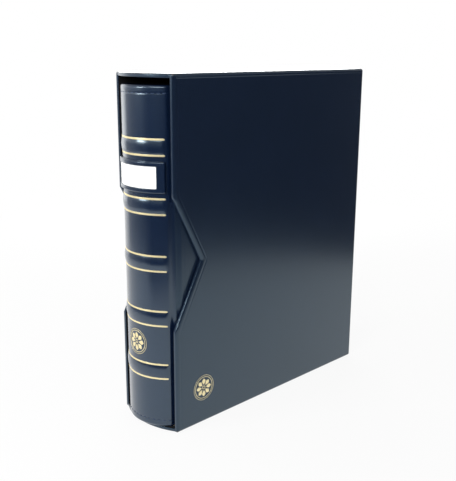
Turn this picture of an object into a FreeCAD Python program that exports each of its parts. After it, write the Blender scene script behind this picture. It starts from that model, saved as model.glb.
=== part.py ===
import FreeCAD, Part
import os

import Sketcher

# A four-ring stamp album with a rounded, padded spine, standing in its slipcase.
# The origin is the middle of the slipcase's underside: X runs across the thickness,
# the spine faces -Y, Z is up. The front cover is on the +X side.

# Driving dimensions, in millimetres and degrees
DIMENSIONS = {
    # Slipcase
    "case_thickness": 79.2,
    "case_depth": 268.0,
    "case_height": 330.0,
    "case_board": 2.6,
    "case_skin": 0.7,
    "case_paper": 0.3,
    "case_corner": 2.4,
    "lip_bow": 9.5,
    "notch_depth": 32.0,
    "notch_height": 124.0,
    "notch_middle": 163.0,
    # Album block and its play in the slipcase
    "album_head_gap": 7.4,
    "album_side_gap": 0.8,
    "album_back_gap": 1.5,
    # Covers
    "cover_board": 2.4,
    "cover_leather": 0.7,
    "cover_paper": 0.3,
    "cover_turn_in": 0.6,
    "hinge_width": 9.0,
    "hinge_gap": 0.4,
    # Rounded spine
    "spine_radius": 41.5,
    "spine_projection": 14.2,
    "spine_leather": 0.8,
    "spine_padding": 1.5,
    "spine_board": 2.3,
    "spine_paper": 0.3,
    "glue_line": 0.1,
    "band_pitch": 52.0,
    "band_rise": 2.4,
    "band_width": 11.0,
    "band_height": 0.7,
    "band_slope": 0.8,
    "band_length": 66.0,
    "gilt_spacing": 14.0,
    "gilt_width": 1.2,
    "gilt_thickness": 0.15,
    "gilt_length": 67.4,
    # Label holder on the spine
    "label_margin": 4.4,
    "label_length": 68.0,
    "label_base": 0.7,
    "label_face": 0.7,
    "label_film": 0.25,
    "label_end_border": 8.0,
    "label_border": 4.25,
    "card_thickness": 0.3,
    "card_play": 0.2,
    "card_overlap": 1.2,
    # Ring mechanism
    "bed_width": 22.0,
    "bed_thickness": 3.2,
    "channel_width": 20.0,
    "channel_height": 6.0,
    "channel_sheet": 0.9,
    "channel_margin": 15.2,
    "shoulder_run": 3.0,
    "shoulder_rise": 2.0,
    "blade_thickness": 1.0,
    "blade_swing": 9.0,
    "blade_play": 0.4,
    "blade_seam": 0.3,
    "pivot_height": 2.6,
    "ring_wire": 3.2,
    "ring_radius": 20.0,
    "ring_bend": 4.0,
    "ring_end_margin": 22.5,
    "ring_leg_inset": 2.2,
    "ring_rise": 0.5,
    "ring_tip_gap": 0.3,
    "leg_play": 0.3,
    "leg_head_width": 4.4,
    "leg_head_height": 0.5,
    "slot_play": 0.4,
    "rivet_shank": 4.0,
    "rivet_head": 7.0,
    "rivet_head_height": 1.2,
    "rivet_ring_gap": 20.0,
    "rivet_play": 0.1,
    "rivet_notch_play": 0.8,
    "lever_width": 9.0,
    "lever_hub": 4.6,
    "lever_pin": 2.2,
    "lever_pin_play": 0.15,
    "lever_inset": 7.0,
    "lever_slot": 13.0,
    "tongue_width": 3.0,
    "tongue_reach": 4.2,
    "tongue_top": 1.5,
    "tongue_thickness": 0.8,
    "tongue_lap": 0.9,
    "handle_reach": 9.0,
    "handle_rise": 8.0,
    "handle_thickness": 1.6,
    # Stock leaves
    "leaf_fore_gap": 7.9,
    "leaf_margin": 9.2,
    "leaf_thickness": 0.6,
    "leaf_pitch": 1.4,
    "leaf_hole": 7.4,
    "leaf_drop": 1.5,
    "hole_margin": 12.0,
    "strip_height": 33.0,
    "strip_end_margin": 17.0,
    "strip_film": 0.15,
    "strip_side_margin": 8.0,
    "strip_hole_margin": 20.0,
}

# Counts
BANDS = 5
RINGS = 4
LEAVES = 8
STRIP_ROWS = 6

doc = FreeCAD.newDocument("stamp_album")
sheet = doc.addObject("Spreadsheet::Sheet", "dims")
for row, (alias, value) in enumerate(DIMENSIONS.items(), start=1):
    sheet.set(f"A{row}", alias)
    sheet.set(f"B{row}", str(value))
    sheet.setAlias(f"B{row}", alias)
doc.recompute()

# Slipcase planes: skin outside, board in the middle, paper inside
CASE_HALF = "(dims.case_thickness / 2)"
BOARD_OUT_X = f"({CASE_HALF} - dims.case_skin)"
BOARD_IN_X = f"({BOARD_OUT_X} - dims.case_board)"
CASE_IN_X = f"({BOARD_IN_X} - dims.case_paper)"
CASE_WALL = "(dims.case_skin + dims.case_board + dims.case_paper)"
MOUTH_Y = "(-dims.case_depth / 2)"
BOARD_MOUTH_Y = f"({MOUTH_Y} + dims.case_skin)"
CASE_BACK_Y = "(dims.case_depth / 2)"
BOARD_BACK_Y = f"({CASE_BACK_Y} - dims.case_skin)"
BACK_BOARD_Y = f"({BOARD_BACK_Y} - dims.case_board)"
CASE_IN_Y = f"({BACK_BOARD_Y} - dims.case_paper)"
BOARD_TOP_Z = "(dims.case_height - dims.case_skin)"
TOP_BOARD_Z = f"({BOARD_TOP_Z} - dims.case_board)"
CASE_IN_TOP_Z = f"({TOP_BOARD_Z} - dims.case_paper)"
BOTTOM_BOARD_Z = "(dims.case_skin + dims.case_board)"

# The top and bottom panels bow out at the mouth, in an arc between the sides' inner faces
BOW_OUT_R = f"(({CASE_IN_X} ^ 2 + dims.lip_bow ^ 2) / (2 * dims.lip_bow))"
BOW_BOARD_R = f"({BOW_OUT_R} - dims.case_skin)"
BOW_ROOT_R = f"({BOW_OUT_R} - dims.lip_bow - 2 * dims.case_skin)"
BOW_ANGLE = f"2 * asin({CASE_IN_X} / {BOW_OUT_R})"
BOW_Y = f"({MOUTH_Y} - dims.lip_bow + {BOW_OUT_R})"

# Thumb notch: a V whose board edge stands one skin thickness behind the skin's edge
NOTCH_HALF = "(dims.notch_height / 2)"
NOTCH_EDGE = f"sqrt(dims.notch_depth ^ 2 + {NOTCH_HALF} ^ 2)"
BOARD_NOTCH_HALF = f"({NOTCH_HALF} + dims.case_skin * ({NOTCH_EDGE} - {NOTCH_HALF}) / dims.notch_depth)"
NOTCH_APEX_Y = f"({MOUTH_Y} + dims.notch_depth)"
BOARD_NOTCH_APEX_Y = f"({NOTCH_APEX_Y} + dims.case_skin * {NOTCH_EDGE} / {NOTCH_HALF})"

# Album planes
TAIL_Z = CASE_WALL
HEAD_Z = f"({CASE_IN_TOP_Z} - dims.album_head_gap)"
ALBUM_HEIGHT = f"({HEAD_Z} - {TAIL_Z})"
ALBUM_MID_Z = f"({TAIL_Z} + {ALBUM_HEIGHT} / 2)"
COVER_FACE_X = f"({CASE_IN_X} - dims.album_side_gap)"
COVER_BOARD_X = f"({COVER_FACE_X} - dims.cover_leather)"
COVER_PAPER_X = f"({COVER_BOARD_X} - dims.cover_board)"
COVER_IN_X = f"({COVER_PAPER_X} - dims.cover_paper)"
FORE_EDGE_Y = f"({CASE_IN_Y} - dims.album_back_gap)"

# Spine layers are arcs about one upright axis
SPINE_Y = f"({MOUTH_Y} - dims.spine_projection + dims.spine_radius)"
SPINE_ANGLE = f"2 * asin({COVER_FACE_X} / dims.spine_radius)"
SPINE_COS = f"sqrt(1 - ({COVER_FACE_X} / dims.spine_radius) ^ 2)"
LEATHER_IN_R = "(dims.spine_radius - dims.spine_leather)"
PADDING_OUT_R = f"({LEATHER_IN_R} - dims.glue_line)"
PADDING_IN_R = f"({PADDING_OUT_R} - dims.spine_padding)"
BOARD_OUT_R = f"({PADDING_IN_R} - dims.glue_line)"
BOARD_IN_R = f"({BOARD_OUT_R} - dims.spine_board)"
PAPER_OUT_R = f"({BOARD_IN_R} - dims.glue_line)"
PAPER_IN_R = f"({PAPER_OUT_R} - dims.spine_paper)"
HINGE_START_Y = f"({SPINE_Y} - {LEATHER_IN_R} * {SPINE_COS} + dims.glue_line)"
HINGE_END_Y = f"({HINGE_START_Y} + dims.hinge_width)"
COVER_START_Y = f"({HINGE_END_Y} + dims.hinge_gap)"

# Bands stand a little above the spine's middle, the label between the two upper ones
BAND_MIDDLE = f"({ALBUM_MID_Z} + dims.band_rise)"
LABEL_MIDDLE = f"({BAND_MIDDLE} + ({BANDS} - 2) / 2 * dims.band_pitch)"
LABEL_HEIGHT = "(dims.band_pitch - dims.gilt_spacing - dims.gilt_width - 2 * dims.label_margin)"
CARD_HEIGHT = f"({LABEL_HEIGHT} - 2 * dims.label_border)"
CARD_LENGTH = "(dims.label_length - 2 * dims.label_end_border)"

# Label holder radii, outwards from the spine's leather
LABEL_IN_R = "(dims.spine_radius + dims.glue_line)"
POCKET_IN_R = f"({LABEL_IN_R} + dims.label_base)"
CARD_IN_R = f"({POCKET_IN_R} + dims.card_play)"
CARD_OUT_R = f"({CARD_IN_R} + dims.card_thickness)"
POCKET_OUT_R = f"({CARD_OUT_R} + dims.card_play)"
LABEL_OUT_R = f"({POCKET_OUT_R} + dims.label_face)"
LABEL_BOTTOM_Z = f"({LABEL_MIDDLE} - {LABEL_HEIGHT} / 2)"
LABEL_TOP_Z = f"({LABEL_MIDDLE} + {LABEL_HEIGHT} / 2)"
WINDOW_BOTTOM_Z = f"({LABEL_MIDDLE} - {CARD_HEIGHT} / 2)"
WINDOW_TOP_Z = f"({LABEL_MIDDLE} + {CARD_HEIGHT} / 2)"
CARD_BOTTOM_Z = f"({WINDOW_BOTTOM_Z} - dims.card_overlap)"
CARD_TOP_Z = f"({WINDOW_TOP_Z} + dims.card_overlap)"
POCKET_BOTTOM_Z = f"({CARD_BOTTOM_Z} - dims.card_play)"

# Ring mechanism: the channel's open side lies on the bed, its crown looks into the album
BED_OUT_R = f"({PAPER_IN_R} - dims.glue_line)"
BED_Y = f"({SPINE_Y} - {BED_OUT_R} + dims.bed_thickness)"
CROWN_Y = f"({BED_Y} + dims.channel_height)"
CHANNEL_HALF = "(dims.channel_width / 2)"
CROWN_HALF = f"({CHANNEL_HALF} - dims.shoulder_run)"
SIDE_TOP_Y = f"({CROWN_Y} - dims.shoulder_rise)"
SHOULDER = "sqrt(dims.shoulder_run ^ 2 + dims.shoulder_rise ^ 2)"
SIDE_IN_X = f"({CHANNEL_HALF} - dims.channel_sheet)"
SIDE_IN_Y = (
    f"({SIDE_TOP_Y} - dims.channel_sheet * ({SHOULDER} - dims.shoulder_rise) / dims.shoulder_run)"
)
CROWN_IN_X = (
    f"({CROWN_HALF} - dims.channel_sheet * ({SHOULDER} - dims.shoulder_run) / dims.shoulder_rise)"
)
CROWN_IN_Y = f"({CROWN_Y} - dims.channel_sheet)"
CHANNEL_LENGTH = f"({ALBUM_HEIGHT} - 2 * dims.channel_margin)"
CHANNEL_LOW_Z = f"({TAIL_Z} + dims.channel_margin)"
CHANNEL_HIGH_Z = f"({HEAD_Z} - dims.channel_margin)"
PIVOT_X = f"({SIDE_IN_X} - dims.blade_play)"
PIVOT_Y = f"({BED_Y} + dims.pivot_height)"
LEVER_OFFSET = f"({CHANNEL_LENGTH} / 2 - dims.lever_inset)"
RING_SPAN = f"({CHANNEL_LENGTH} - 2 * dims.ring_end_margin)"
RING_PITCH = f"({RING_SPAN} / ({RINGS} - 1))"
RIVET_SPACING = f"({RING_SPAN} - 2 * dims.rivet_ring_gap)"
BLADE_HALF_LENGTH = f"({LEVER_OFFSET} - dims.tongue_reach + dims.tongue_lap)"
LEG_X = f"({PIVOT_X} - dims.ring_leg_inset)"
BEND_Y = f"({CROWN_Y} + dims.ring_rise)"
BEND_X = f"({LEG_X} + dims.ring_bend)"
BEND_SPAN = "(dims.ring_radius + dims.ring_bend)"
RING_Y = f"({BEND_Y} + sqrt({BEND_SPAN} ^ 2 - {BEND_X} ^ 2))"
BEND_ANGLE = f"asin({BEND_X} / {BEND_SPAN})"
TIP_ANGLE = "(dims.ring_tip_gap / 2 / dims.ring_radius * 1 rad)"
HALF_SWING = "(dims.blade_swing / 2)"
LEG_HEAD_TOP_Y = (
    f"({PIVOT_Y} - dims.ring_leg_inset * sin({HALF_SWING}) - dims.blade_thickness / 2"
    f" - dims.leg_head_width / 2 * tan({HALF_SWING}) - dims.glue_line)"
)
RIVET_END_Y = f"({SPINE_Y} - ({BOARD_IN_R} + {BOARD_OUT_R}) / 2)"

# Leaves hang on the rings at the middle of the album
HOLE_Y = f"({RING_Y} + dims.ring_radius)"
LEAF_START_Y = f"({HOLE_Y} - dims.hole_margin)"
LEAF_END_Y = f"({FORE_EDGE_Y} - dims.leaf_fore_gap)"
LEAF_MID_Z = f"({ALBUM_MID_Z} - dims.leaf_drop)"
LEAF_HEIGHT = f"({ALBUM_HEIGHT} - 2 * dims.leaf_margin)"
STRIP_SPAN = f"({LEAF_HEIGHT} - 2 * dims.strip_end_margin)"
STRIP_PITCH = f"(({STRIP_SPAN} - dims.strip_height) / ({STRIP_ROWS} - 1))"

SIDES = {"right": "1", "left": "-1"}
COVERS = {"front": "1", "back": "-1"}
ENDS = {"upper": "1", "lower": "-1"}

nodes = []


def keep(piece, label):
    """Name a finished piece as one of the album's nodes."""
    piece.Label = label
    nodes.append(piece)
    return piece


def bind(thing, bindings):
    """Tie properties to expressions on the sheet."""
    for path, expression in bindings.items():
        thing.setExpression(path, expression)
    return thing


def place(thing, x="0", y="0", z="0"):
    """Tie a piece's place to expressions on the sheet."""
    return bind(thing, {"Placement.Base.x": x, "Placement.Base.y": y, "Placement.Base.z": z})


def box(name, low, high):
    """Make a block between two opposite corners, each given as three expressions."""
    block = doc.addObject("Part::Box", name)
    sizes = [f"({top}) - ({bottom})" for bottom, top in zip(low, high)]
    bind(block, dict(zip(("Length", "Width", "Height"), sizes)))
    return place(block, *low)


def cylinder(name, diameter, length, axis, centre):
    """Make a round bar that starts at a point and runs along +X, +Y or +Z."""
    bar = doc.addObject("Part::Cylinder", name)
    bind(bar, {"Radius": f"({diameter}) / 2", "Height": length})
    bar.Placement.Rotation = FreeCAD.Rotation(FreeCAD.Vector(0, 0, 1), axis)
    return place(bar, *centre)


def cut(name, base, tools):
    """Cut one or more tools out of a base."""
    tool = tools[0] if len(tools) == 1 else compound(name + "_tools", tools)
    piece = doc.addObject("Part::Cut", name)
    piece.Base = base
    piece.Tool = tool
    return piece


def fuse(name, pieces):
    """Join pieces into one solid."""
    joined = doc.addObject("Part::MultiFuse", name)
    joined.Shapes = pieces
    return joined


def compound(name, pieces):
    """Group separate solids under one name."""
    group = doc.addObject("Part::Compound", name)
    group.Links = pieces
    return group


def new_body(name):
    """Start a body that may hold several solids."""
    body = doc.addObject("PartDesign::Body", name)
    body.AllowCompound = True
    return body


def new_sketch(body, role, offset="0"):
    """Start a sketch on one of a body's own planes, moved along the plane's normal."""
    plane = next(item for item in body.Origin.OriginFeatures if item.Role == role)
    sketch = body.newObject("Sketcher::SketchObject", body.Name + "_sketch")
    sketch.AttachmentSupport = (plane, "")
    sketch.MapMode = "FlatFace"
    return bind(sketch, {"AttachmentOffset.Base.z": offset})


def fix_point(sketch, line, x, y):
    """Tie the first point of a line, or a circle's middle, to two expressions."""
    point = 3 if isinstance(sketch.Geometry[line], Part.Circle) else 1
    for kind, expression in (("DistanceX", x), ("DistanceY", y)):
        index = sketch.addConstraint(Sketcher.Constraint(kind, line, point, 1.0))
        sketch.setExpression(f"Constraints[{index}]", expression)


def draw_polygon(sketch, corners):
    """Draw a closed outline whose every corner is tied to the sheet."""
    first = sketch.GeometryCount
    count = len(corners)
    for step in range(count):
        start = FreeCAD.Vector(step, step * step, 0)
        end = FreeCAD.Vector(step + 1, (step + 1) ** 2, 0)
        sketch.addGeometry(Part.LineSegment(start, end))
    for step, (x, y) in enumerate(corners):
        following = first + (step + 1) % count
        sketch.addConstraint(Sketcher.Constraint("Coincident", first + step, 2, following, 1))
        fix_point(sketch, first + step, x, y)


def draw_rectangle(sketch, x0, x1, y0, y1):
    """Draw a rectangle between four expressions."""
    draw_polygon(sketch, [(x0, y0), (x1, y0), (x1, y1), (x0, y1)])


def draw_circle(sketch, x, y, diameter):
    """Draw a circle tied to the sheet."""
    circle = Part.Circle(FreeCAD.Vector(1, 1, 0), FreeCAD.Vector(0, 0, 1), 1)
    line = sketch.addGeometry(circle)
    index = sketch.addConstraint(Sketcher.Constraint("Diameter", line, 2.0))
    sketch.setExpression(f"Constraints[{index}]", diameter)
    fix_point(sketch, line, x, y)


def pad(body, sketch, length):
    """Raise a sketch evenly to both sides of its plane."""
    feature = body.newObject("PartDesign::Pad", body.Name + "_pad")
    feature.Profile = sketch
    feature.Midplane = True
    return bind(feature, {"Length": length})


def pocket(body, sketch, length=None):
    """Cut a sketch evenly to both sides of its plane, or right through."""
    feature = body.newObject("PartDesign::Pocket", body.Name + "_pocket")
    feature.Profile = sketch
    feature.Midplane = True
    if length is None:
        feature.Type = "ThroughAll"
        return feature
    return bind(feature, {"Length": length})


def turn(body, sketch, angle, kind="PartDesign::Revolution"):
    """Turn a sketch about the upright axis, evenly to both sides."""
    feature = body.newObject(kind, body.Name + "_turn")
    feature.Profile = sketch
    feature.ReferenceAxis = (sketch, ["V_Axis"])
    feature.Midplane = True
    return bind(feature, {"Angle": angle})


def round_edges(body, radius, chosen):
    """Round the edges of a body's last feature that a test picks."""
    doc.recompute()
    base = body.Tip
    names = [f"Edge{n}" for n, edge in enumerate(base.Shape.Edges, start=1) if chosen(edge)]
    feature = body.newObject("PartDesign::Fillet", body.Name + "_round")
    feature.Base = (base, names)
    return bind(feature, {"Radius": radius})


def face_front(body, axis_y):
    """Stand a turned body on an upright axis, with its middle facing -Y."""
    body.Placement.Rotation = FreeCAD.Rotation(FreeCAD.Vector(0, 0, 1), -90)
    return place(body, y=axis_y)


def sector(name, inner, outer, low, high, angle, axis_y):
    """Make a plain curved layer about an upright axis."""
    body = new_body(name)
    sketch = new_sketch(body, "XZ_Plane")
    draw_rectangle(sketch, inner, outer, low, high)
    turn(body, sketch, angle)
    return face_front(body, axis_y)


def on_spine(body):
    """Stand a turned body on the spine's axis."""
    return face_front(body, SPINE_Y)


def spine_sector(name, inner, outer, low, high, angle):
    """Make a plain curved layer of the spine."""
    return sector(name, inner, outer, low, high, angle, SPINE_Y)


def bowed_lip(name, inner, outer, low, high):
    """Make one layer of a panel's bowed front edge."""
    return sector(name, inner, outer, low, high, BOW_ANGLE, BOW_Y)


def bowed_panel(name, half, low, high):
    """Make a flat inner layer of the top or bottom panel, with its bowed front edge."""
    flat = box(f"{name}_flat", (f"-{half}", BOARD_MOUTH_Y, low), (half, BACK_BOARD_Y, high))
    lip = bowed_lip(f"{name}_lip", BOW_ROOT_R, BOW_BOARD_R, low, high)
    return fuse(name, [flat, lip])


def arc_angle(length, radius):
    """Give the angle that an arc length takes up on a radius."""
    return f"({length}) / ({radius}) * 1 rad"


def notched_outline(mouth, apex, half, back, low, high):
    """Outline of a side panel: a rectangle with the V notch in its mouth edge."""
    return [
        (mouth, low),
        (back, low),
        (back, high),
        (mouth, high),
        (mouth, f"dims.notch_middle + {half}"),
        (apex, "dims.notch_middle"),
        (mouth, f"dims.notch_middle - {half}"),
    ]


def make_case_boards():
    """The slipcase's five boards."""
    outer_x = sheet.case_thickness / 2 - sheet.case_skin - sheet.case_board / 2

    def back_corner(edge):
        span = edge.BoundBox
        return span.ZLength > sheet.case_height / 2 and abs(span.XMin) > outer_x and span.YMin > 0

    for side, sign in SIDES.items():
        body = new_body(f"case_{side}_board")
        sketch = new_sketch(body, "YZ_Plane", f"{sign} * ({BOARD_IN_X} + {BOARD_OUT_X}) / 2")
        outline = notched_outline(
            BOARD_MOUTH_Y, BOARD_NOTCH_APEX_Y, BOARD_NOTCH_HALF, BOARD_BACK_Y, "dims.case_skin", BOARD_TOP_Z
        )
        draw_polygon(sketch, outline)
        pad(body, sketch, "dims.case_board")
        round_edges(body, "dims.case_corner - dims.case_skin", back_corner)
        keep(body, f"case_{side}_board")
    low = (f"-{BOARD_IN_X}", BACK_BOARD_Y, "dims.case_skin")
    high = (BOARD_IN_X, BOARD_BACK_Y, BOARD_TOP_Z)
    keep(box("case_back", low, high), "case_back_board")
    keep(bowed_panel("case_top", BOARD_IN_X, TOP_BOARD_Z, BOARD_TOP_Z), "case_top_board")
    keep(bowed_panel("case_bottom", BOARD_IN_X, "dims.case_skin", BOTTOM_BOARD_Z), "case_bottom_board")


def make_case_wrap():
    """The leatherette round both sides and the back, turned in at the mouth and the notches."""
    body = new_body("case_wrap")
    middle = "dims.case_height / 2"
    sketch = new_sketch(body, "XY_Plane", middle)
    draw_polygon(sketch, [
        (f"-{CASE_HALF}", MOUTH_Y),
        (f"-{CASE_HALF}", CASE_BACK_Y),
        (CASE_HALF, CASE_BACK_Y),
        (CASE_HALF, MOUTH_Y),
        (BOARD_OUT_X, MOUTH_Y),
        (BOARD_OUT_X, BOARD_BACK_Y),
        (f"-{BOARD_OUT_X}", BOARD_BACK_Y),
        (f"-{BOARD_OUT_X}", MOUTH_Y),
    ])
    pad(body, sketch, f"{BOARD_TOP_Z} - dims.case_skin")
    notch = new_sketch(body, "YZ_Plane")
    draw_polygon(notch, [
        (MOUTH_Y, f"dims.notch_middle - {NOTCH_HALF}"),
        (NOTCH_APEX_Y, "dims.notch_middle"),
        (MOUTH_Y, f"dims.notch_middle + {NOTCH_HALF}"),
    ])
    pocket(body, notch)
    for sign in SIDES.values():
        turn_in = new_sketch(body, "YZ_Plane", f"{sign} * ({CASE_IN_X} + {BOARD_OUT_X}) / 2")
        draw_polygon(turn_in, [
            (MOUTH_Y, "dims.case_skin"),
            (BOARD_MOUTH_Y, "dims.case_skin"),
            (BOARD_MOUTH_Y, f"dims.notch_middle - {BOARD_NOTCH_HALF}"),
            (BOARD_NOTCH_APEX_Y, "dims.notch_middle"),
            (BOARD_MOUTH_Y, f"dims.notch_middle + {BOARD_NOTCH_HALF}"),
            (BOARD_MOUTH_Y, BOARD_TOP_Z),
            (MOUTH_Y, BOARD_TOP_Z),
            (MOUTH_Y, f"dims.notch_middle + {NOTCH_HALF}"),
            (NOTCH_APEX_Y, "dims.notch_middle"),
            (MOUTH_Y, f"dims.notch_middle - {NOTCH_HALF}"),
        ])
        pad(body, turn_in, f"{BOARD_OUT_X} - {CASE_IN_X}")
    outer_x = sheet.case_thickness / 2 - sheet.case_skin / 2
    outer_y = sheet.case_depth / 2 - sheet.case_skin / 2

    def outer_corner(edge):
        span = edge.BoundBox
        return span.ZLength > sheet.case_height / 2 and abs(span.XMin) > outer_x and span.YMin > outer_y

    def inner_corner(edge):
        span = edge.BoundBox
        at_back = outer_y > span.YMin > outer_y - sheet.case_skin
        at_side = outer_x > abs(span.XMin) > outer_x - sheet.case_skin
        return span.ZLength > sheet.case_height / 2 and at_back and at_side

    round_edges(body, "dims.case_corner", outer_corner)
    round_edges(body, "dims.case_corner - dims.case_skin", inner_corner)
    keep(body, "case_wrap")


def make_case_end_cover(name, low, high, lip_low, lip_high):
    """A leatherette strip over the top or the bottom, turned in over the bowed front edge."""
    body = new_body(f"{name}_flat")
    sketch = new_sketch(body, "XY_Plane", f"({low} + {high}) / 2")
    draw_rectangle(sketch, f"-{CASE_HALF}", CASE_HALF, MOUTH_Y, CASE_BACK_Y)
    pad(body, sketch, "dims.case_skin")
    back = sheet.case_depth / 2 - sheet.case_skin / 2

    def back_corner(edge):
        span = edge.BoundBox
        return span.ZLength > sheet.case_skin / 2 and span.YMin > back

    round_edges(body, "dims.case_corner", back_corner)
    lip = bowed_lip(f"{name}_lip", BOW_ROOT_R, BOW_OUT_R, low, high)
    turn_in = bowed_lip(f"{name}_turn_in", BOW_BOARD_R, BOW_OUT_R, lip_low, lip_high)
    keep(fuse(name, [body, lip, turn_in]), name)


def make_case_lining():
    """The slipcase's black paper lining, one sheet on each inner face."""
    for side, sign in SIDES.items():
        body = new_body(f"case_{side}_lining")
        sketch = new_sketch(body, "YZ_Plane", f"{sign} * ({CASE_IN_X} + {BOARD_IN_X}) / 2")
        outline = notched_outline(
            BOARD_MOUTH_Y, BOARD_NOTCH_APEX_Y, BOARD_NOTCH_HALF, BACK_BOARD_Y, BOTTOM_BOARD_Z, TOP_BOARD_Z
        )
        draw_polygon(sketch, outline)
        pad(body, sketch, "dims.case_paper")
        keep(body, f"case_{side}_lining")
    keep(bowed_panel("bottom_lining", CASE_IN_X, BOTTOM_BOARD_Z, CASE_WALL), "case_bottom_lining")
    keep(bowed_panel("top_lining", CASE_IN_X, CASE_IN_TOP_Z, TOP_BOARD_Z), "case_top_lining")
    low = (f"-{CASE_IN_X}", CASE_IN_Y, CASE_WALL)
    high = (CASE_IN_X, BACK_BOARD_Y, CASE_IN_TOP_Z)
    keep(box("back_lining", low, high), "case_back_lining")


def band_middles():
    """Heights of the raised bands' middles."""
    return [f"{BAND_MIDDLE} + dims.band_pitch * ({number} - ({BANDS} - 1) / 2)" for number in range(BANDS)]


def banded_side(radius, rise):
    """One side of a spine layer's section, from tail to head, rising at every raised band."""
    half = "dims.band_width / 2"
    crown = f"{radius} + {rise}"
    corners = [(radius, TAIL_Z)]
    for middle in band_middles():
        corners.append((radius, f"{middle} - {half} - dims.band_slope"))
        corners.append((crown, f"{middle} - {half}"))
        corners.append((crown, f"{middle} + {half}"))
        corners.append((radius, f"{middle} + {half} + dims.band_slope"))
    corners.append((radius, HEAD_Z))
    return corners


def banded_layer(name, inner, outer, inner_side):
    """A spine layer that is plain at its two edges and banded between them."""
    angle = arc_angle("dims.band_length", "dims.spine_radius")
    body = spine_sector(name, inner, outer, TAIL_Z, HEAD_Z, SPINE_ANGLE)
    middle = new_sketch(body, "XZ_Plane")
    draw_rectangle(middle, f"{inner} - dims.glue_line", f"{outer} + dims.glue_line", TAIL_Z, HEAD_Z)
    turn(body, middle, angle, "PartDesign::Groove")
    banded = new_sketch(body, "XZ_Plane")
    draw_polygon(banded, banded_side(outer, "dims.band_height") + inner_side[::-1])
    turn(body, banded, angle).Refine = False
    return body


def make_spine_covering():
    """The spine's leather and the ridged padding that raises its bands."""
    leather_inside = banded_side(LEATHER_IN_R, "dims.band_height")
    leather = banded_layer("leather", LEATHER_IN_R, "dims.spine_radius", leather_inside)
    keep(leather, "spine_leather")
    padding_inside = [(PADDING_IN_R, TAIL_Z), (PADDING_IN_R, HEAD_Z)]
    padding = banded_layer("padding", PADDING_IN_R, PADDING_OUT_R, padding_inside)
    keep(padding, "spine_padding")


def rivet_places():
    """Heights of the rivets that hold the channel."""
    return [f"{ALBUM_MID_Z} + {sign} * {RIVET_SPACING} / 2" for sign in ENDS.values()]


def make_spine_board():
    """The curved spine board and its inner paper, both pierced for the rivets."""
    layers = {
        "spine_board": (BOARD_IN_R, BOARD_OUT_R),
        "spine_lining": (PAPER_IN_R, PAPER_OUT_R),
    }
    for name, (inner, outer) in layers.items():
        body = spine_sector(name, inner, outer, TAIL_Z, HEAD_Z, SPINE_ANGLE)
        holes = new_sketch(body, "YZ_Plane")
        for height in rivet_places():
            draw_circle(holes, "0", height, "dims.rivet_shank + 2 * dims.rivet_play")
        pocket(body, holes)
        keep(body, name)


def make_gilt_lines():
    """Gilt lines pressed on the spine, one above and one below each raised band."""
    body = new_body("spine_gilt_lines")
    sketch = new_sketch(body, "XZ_Plane")
    inner = "dims.spine_radius + dims.glue_line / 2"
    outer = f"{inner} + dims.gilt_thickness"
    for middle in band_middles():
        for sign in ENDS.values():
            line = f"{middle} + {sign} * dims.gilt_spacing / 2"
            draw_rectangle(sketch, inner, outer,
                           f"{line} - dims.gilt_width / 2", f"{line} + dims.gilt_width / 2")
    turn(body, sketch, arc_angle("dims.gilt_length", "dims.spine_radius"))
    keep(on_spine(body), "spine_gilt_lines")


def make_label_holder():
    """The label's frame with its pocket open at the top, the clear window and the card."""
    window_angle = arc_angle(CARD_LENGTH, "dims.spine_radius")
    card_angle = arc_angle(f"{CARD_LENGTH} + 2 * dims.card_overlap", "dims.spine_radius")
    pocket_length = f"{CARD_LENGTH} + 2 * dims.card_overlap + 2 * dims.card_play"
    pocket_angle = arc_angle(pocket_length, "dims.spine_radius")
    film_out = f"{POCKET_OUT_R} + dims.label_film"
    frame = new_body("label_frame")
    sketch = new_sketch(frame, "XZ_Plane")
    draw_rectangle(sketch, LABEL_IN_R, LABEL_OUT_R, LABEL_BOTTOM_Z, LABEL_TOP_Z)
    turn(frame, sketch, arc_angle("dims.label_length", "dims.spine_radius"))
    card_slot = new_sketch(frame, "XZ_Plane")
    slot_top = f"{LABEL_TOP_Z} + dims.card_overlap"
    draw_rectangle(card_slot, POCKET_IN_R, POCKET_OUT_R, POCKET_BOTTOM_Z, slot_top)
    turn(frame, card_slot, pocket_angle, "PartDesign::Groove")
    window = new_sketch(frame, "XZ_Plane")
    beyond = f"{LABEL_OUT_R} + dims.card_overlap"
    draw_rectangle(window, f"{POCKET_OUT_R} - dims.card_play", beyond, WINDOW_BOTTOM_Z, WINDOW_TOP_Z)
    turn(frame, window, window_angle, "PartDesign::Groove")
    keep(on_spine(frame), "label_frame")
    film = spine_sector("label_film", POCKET_OUT_R, film_out, WINDOW_BOTTOM_Z, WINDOW_TOP_Z, window_angle)
    keep(film, "label_window")
    card = spine_sector("card", CARD_IN_R, CARD_OUT_R, CARD_BOTTOM_Z, CARD_TOP_Z, card_angle)
    keep(card, "label_card")


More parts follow.
